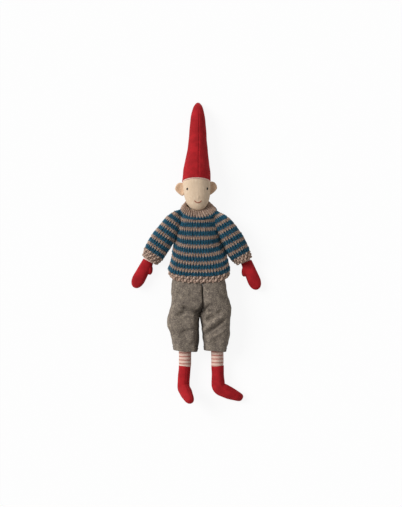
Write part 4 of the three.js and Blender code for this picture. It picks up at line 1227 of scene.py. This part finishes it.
def creases(word, points):
    """How far the cloth stands out or sinks: folds from the crotch and the knee, and a soft unevenness."""
    side = SIDES[word]
    x, y = (points[..., 0] - SEAM_X) * side, points[..., 1]
    front = smooth((points[..., 2] - 12) / 14)
    total = waves(points, 34, 51 + side) * 0.9 + waves(points, 15, 55 + side) * 0.45
    for x0, y0, x1, y1, width, height in FOLDS[word]:
        way = np.array([x1 - x0, y1 - y0], float)
        length = np.linalg.norm(way)
        way /= length
        along = (x - x0) * way[0] + (y - y0) * way[1]
        off = np.abs((x - x0) * way[1] - (y - y0) * way[0])
        ends = smooth(along / 6 + 0.5) * smooth((length - along) / 6 + 0.5)
        total = total + height * smooth(1 - off / width) * ends * front
    seam = 1 - 0.85 * smooth(1 - x / 3) * smooth((y + 104) / 8)
    quiet = smooth((TROUSER_TOP - 14 - y) / 20) * mix(0.35, 1, smooth((y - TROUSER_HEM - 4) / 10))
    return total * quiet * seam


def painted_trouser_shade(word, points, lift):
    """How much shade is painted on the cloth, 0 to 1: along the seam, round the crotch, down the inside of
    the leg and in the folds."""
    x, y = (points[..., 0] - SEAM_X) * SIDES[word], points[..., 1]
    front = smooth((points[..., 2] - 10) / 14)
    above = smooth((y - CROTCH_Y) / 6)
    seam = bump_at(x, 0, 1.7) * above
    crotch = 0.9 * bump_at(x, 0, 12) * bump_at(y, CROTCH_Y + 9, 24)
    inner = through(*zip(*sorted(TROUSER_INNER[word])), y)
    inside = 0.85 * bump_at(x - inner, 0, 6) * (1 - above)
    folds = 0.5 * smooth(-lift / 4.5)
    return np.max([seam * front, crotch * front, inside, folds], axis=0)


def trouser_half(word, form):
    """One half from the waist to its turned hem, drawn in along the seam and deeper round the crotch."""
    points = ring_grid(form, np.linspace(TROUSER_TOP, HEM_TOP, 120), TROUSER_COLUMNS)
    normal, _ = outward(points, True)
    lift = creases(word, points)
    # How much shade is painted on the cloth at each point.
    hollow = painted_trouser_shade(word, points, lift)
    points = points + normal * lift[..., None]
    reach = np.maximum((points[..., 0] - SEAM_X) * SIDES[word], -0.15)
    deeper = smooth((-80 - points[..., 1]) / 24)
    groove = (0.9 + 8 * deeper) * bump_at(reach, 0, 1.4 + 8.5 * deeper) * smooth((points[..., 2] - 18) / 14)
    points[..., 0] = SEAM_X + SIDES[word] * reach + seam_shift(points[..., 1]) * smooth(1 - reach / 20)
    points[..., 2] -= groove
    return skin(f"trousers_{word}_half", rest_on_floor(points), [tweed], hollow=hollow)


def turned_hem(word, form):
    """The hem, which stands a little proud of the leg and is folded up inside it."""
    path = [(HEM_TOP + 2.5, 0.9), (HEM_TOP + 0.8, 0.5), (HEM_TOP, -0.25), (HEM_TOP - 2, -0.45),
            (TROUSER_HEM + 1.5, -0.4), (TROUSER_HEM + 0.4, -0.15), (TROUSER_HEM, 0.6),
            (TROUSER_HEM + 0.5, 1.4), (TROUSER_HEM + 6, 1.7), (TROUSER_HEM + 12, 2)]
    rows, hollow = [], []
    for y, inside in path:
        band, out = ring_at(form, y, TROUSER_COLUMNS)
        lift = creases(word, band)
        # How much shade is painted on the hem at each place round it.
        hollow.append(painted_trouser_shade(word, band, lift)[0])
        rows.append(band[0] + out[0] * (lift[0] - inside)[..., None])
    return skin(f"{word}_turned_hem", rest_on_floor(np.array(rows)), [tweed], hollow=np.array(hollow))


def hem_stitches(word, form):
    """The running stitches that hold the hem, just under its top."""
    columns, apart, long = 208, 4, 3
    band, out = ring_at(form, HEM_TOP - 1.1, columns)
    track = band[0] + out[0] * (creases(word, band)[0] + 0.45)[..., None]
    strands = []
    for start in range(0, columns, apart):
        line = []
        for k in range(long):
            at = (start + k) % columns
            line.append(track[at] + out[0][at] * 0.25 * math.sin(math.pi * k / 2.6))
        strands.append(strand(line, 0.26, 6))
    points, faces = joined(strands)
    return piece(f"{word}_hem_stitches", rest_on_floor(points), faces, [seam_thread])


def trousers(word):
    """One half of the trousers, and its turned hem with the stitching."""
    form = TrouserForm(word)
    half = trouser_half(word, form)
    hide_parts(f"{word}_trouser_leg", f"trousers_{word}_seat")
    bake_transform(half)
    hem = turned_hem(word, form)
    declare(hem, f"{word}_leg", [f"{word}_trouser_hem"])
    stitching = hem_stitches(word, form)
    declare(stitching, f"{word}_leg", [])


def waistband():
    """The gathered waistband under the jumper, with its elastic."""
    form = Form([(-30, 0, 2, 39.2, 38.4), (-24, 0, 2.3, 38.8, 38), (-19.5, 0, 2, 39.2, 38.4)])
    columns, gather_columns = 240, 6
    gather = 0.35 * np.sin(np.arange(columns) * 2 * math.pi / gather_columns)
    path = [(-29, 0.6), (-28.4, 0), (-24, -0.2), (-20.8, 0), (-20.2, 0.8), (-20.8, 1.8), (-28, 2.2)]
    rows = []
    for y, inside in path:
        band, out = ring_at(form, y, columns)
        rows.append(band[0] + out[0] * (gather - inside)[:, None])
    obj = skin("gathered_waistband", np.array(rows), [tweed])
    declare(obj, "torso", ["trousers_waistband", "waist_elastic"])


UPPER_LEG_TOP, UPPER_LEG_END = -59.5, -152


def upper_leg(word):
    """The pale stuffed leg inside the trousers."""
    side = SIDES[word]
    hip_x = SEAM_X + side * 23
    ankle = ANKLE_X[word]
    form = Form([
        (UPPER_LEG_TOP, hip_x, 15, 23, 4), (-62, hip_x, 8, 30, 11), (-76, hip_x, 2.4, 35.6, 16.5),
        (-100, mix(hip_x, ankle, 0.35), 2, 31, 15), (-120, mix(hip_x, ankle, 0.6), 2, 27, 12.8),
        (-149.7, ankle, 2, 22, 10), (UPPER_LEG_END, ankle, 4, 20, 8),
    ])
    points = ring_grid(form, np.linspace(UPPER_LEG_TOP, UPPER_LEG_END, 70), 48)
    obj = skin(f"{word}_upper_leg", points, [pale_cloth])
    declare(obj, f"{word}_leg", [f"{word}_leg_skin", f"{word}_leg_filling"])


def stocking(word):
    """The striped stocking, sewn to the boot."""
    ankle = ANKLE_X[word]
    half = STOCKING_WIDTH / 2
    end = BOOT_TOP - 1.5
    form = Form([
        (STOCKING_TOP, ankle, 2, 22, half),
        (-164, ankle, 1.8, 21.8, half),
        (-180, ankle, 0.2, 20.2, half - 0.1),
        (BOOT_TOP, ankle, 0, 20, half - 0.2),
        (end, ankle, 0.6, 19.4, half - 0.8),
    ])
    points = ring_grid(form, np.linspace(STOCKING_TOP, end, 60), 72)
    normal, _ = outward(points, True)
    points = points + normal * (waves(points, 15, 61) * 0.3)[..., None]
    obj = skin(f"{word}_striped_stocking", rest_on_floor(points), [stocking_knits[word]])
    declare(obj, f"{word}_leg", [f"{word}_stocking", f"{word}_stocking_filling"])


BOOT_SHAFT, ANKLE_BEND, FOOT_LENGTH = 30, 10, 37
# How far a foot points away from the leg, and how far each boot is rolled up from lying on its side, in
# degrees
FOOT_ANGLE = 66
FOOT_ROLL = {"left": 72, "right": 0}
# How far the shaft's top and its ankle stand to the right of the stocking's middle
SHAFT_SHIFT = {"left": (-0.6, -2.6), "right": (0.3, 1.2)}


def boot_stations():
    """The boot's middle line, down the shaft, round the ankle and along the foot to a blunt toe. Each row is
    how far down and across it lies, how far it is turned, and the half width and half depth there."""
    angle = math.radians(FOOT_ANGLE)
    stations = [(0, 0, 0, 10, 10), (10, 0, 0, 10.2, 10), (22, 0, 0, 10.5, 10), (27, 0, 0, 10.8, 10)]
    steps = 8
    for k in range(1, steps + 1):
        turn = angle * k / steps
        s = BOOT_SHAFT + ANKLE_BEND * math.sin(turn)
        stations.append((s, ANKLE_BEND * (1 - math.cos(turn)), turn, 10.9, 10))
    s0, t0 = stations[-1][:2]
    foot = [(0.15, 10.9, 9.9), (0.3, 10.6, 9.7), (0.5, 9.6, 9), (0.7, 8.3, 8), (0.84, 7.1, 6.9),
            (0.93, 5.9, 5.8), (0.98, 4.4, 4.4), (1.01, 2.6, 2.8), (1.02, 0.4, 0.5)]
    for share, half, deep in foot:
        reach = FOOT_LENGTH * share
        stations.append((s0 + reach * math.cos(angle), t0 + reach * math.sin(angle), angle, half, deep))
    return np.array(stations)


def boot(word):
    """A stuffed boot. Its two sides are sewn together down the front and the back, and under the foot."""
    roll = math.radians(FOOT_ROLL[word])
    across = np.array([math.cos(roll), 0, math.sin(roll)])
    down = np.array([0, -1, 0])
    normal = np.cross(down, across)
    stations = boot_stations()
    length = path_length(stations[:, :2])
    toe = length[-1] - 4
    at = np.concatenate([np.linspace(0, toe, 80), np.linspace(toe, length[-1], 16)[1:]])
    s, t, turn, half, deep = (through(length, column, at) for column in stations.T)
    ring = np.linspace(0, 2 * math.pi, 64, endpoint=False)
    low = 10 if word == "left" else deep
    middle = np.array([ANKLE_X[word], BOOT_TOP - 0.15, 0.0]) + down * s[:, None] + across * t[:, None]
    middle[:, 2] += low - 0.5
    top, ankle = SHAFT_SHIFT[word]
    middle[:, 0] += mix(top, ankle, smooth(at / BOOT_SHAFT))
    in_plane = across * np.cos(turn)[:, None] - down * np.sin(turn)[:, None]
    points = (middle[:, None] + in_plane[:, None] * (half[:, None] * np.cos(ring))[..., None]
              + normal * (deep[:, None] * np.sin(ring))[..., None])
    out, _ = outward(points, True)
    seam = bump_at(np.abs(np.sin(ring)), 0, 0.1)[None, :] * np.ones((len(at), 1))
    soft = waves(points, 18, 71) * 0.3
    points = points + out * (soft - 0.5 * seam)[..., None]
    rim = points[:1]
    inward = rim.mean(1, keepdims=True) - rim
    lip = [rim + inward * share + np.array([0, up, 0]) for share, up in ((0.12, -4), (0.11, 0), (0.04, 0.35))]
    points = rest_on_floor(np.concatenate([*lip, points]))
    obj = skin(f"{word}_red_boot", points, [red_felt])
    declare(obj, f"{word}_leg", [f"{word}_boot", f"{word}_boot_filling"])


def camera():
    """The camera straight above, which sees the doll as large as the picture shows it."""
    made = bpy.data.objects.new("camera", bpy.data.cameras.new("camera"))
    high = PICTURE_HIGH * POINT_SIZE
    middle_x = (PICTURE_WIDE / 2 - ORIGIN_X) * POINT_SIZE
    middle_y = (ORIGIN_Y - PICTURE_HIGH / 2) * POINT_SIZE
    made.location = Vector((middle_x, middle_y, CAMERA_HEIGHT + SCALE_LEVEL)) * MM
    made.data.sensor_width = SENSOR
    made.data.lens = SENSOR * CAMERA_HEIGHT / high
    made.data.clip_end = 20
    bpy.context.scene.collection.objects.link(made)
    bpy.context.scene.camera = made


def sunlight():
    """Soft light from the upper left."""
    sun = bpy.data.lights.new("key", "SUN")
    sun.energy, sun.angle = SUN_LIGHT, math.radians(SUN_SPREAD)
    key = bpy.data.objects.new("key", sun)
    key.rotation_euler = Vector(SUN_WAY).to_track_quat("-Z", "Y").to_euler()
    bpy.context.scene.collection.objects.link(key)


def surroundings():
    """A world and a floor that look white and keep the doll's shadow."""
    world = bpy.data.worlds.new("studio")
    bpy.context.scene.world = world
    paint = Paint(world)
    lighting = paint.node("ShaderNodeBackground", {"Strength": SKY_LIGHT})
    backdrop = paint.node("ShaderNodeBackground", {"Color": (1, 1, 1, 1)})
    surface = paint.node("ShaderNodeMixShader", {0: paint.seen(), 1: lighting, 2: backdrop})
    paint.show(surface, "ShaderNodeOutputWorld")

    corners = [(x * FLOOR_REACH, y * FLOOR_REACH, 0) for x, y in ((-1, -1), (1, -1), (1, 1), (-1, 1))]
    mesh = bpy.data.meshes.new("floor")
    mesh.from_pydata(corners, [], [(0, 1, 2, 3)])
    floor = bpy.data.objects.new("floor", mesh)
    bpy.context.scene.collection.objects.link(floor)
    paint = Paint(bpy.data.materials.new("floor"))
    matt = paint.node("ShaderNodeBsdfDiffuse", {"Color": (0.92, 0.92, 0.92, 1)})
    white = paint.node("ShaderNodeEmission", {"Color": (1, 1, 1, 1), "Strength": 1.0})
    paint.show(paint.node("ShaderNodeMixShader", {0: paint.seen() * 0.9, 1: matt, 2: white}))
    mesh.materials.append(paint.owner)


bpy.context.scene.view_settings.view_transform = "Standard"
camera()
sunlight()
surroundings()
torso()
jumper()
neckband()
head()
hat()
hat_edge()
mouth()
waistband()
for side_word in SIDES:
    eye(side_word)
    ear(side_word)
    sleeve(side_word)
    stuffed_arm(side_word)
    mitten(side_word)
    trousers(side_word)
    upper_leg(side_word)
    stocking(side_word)
    boot(side_word)
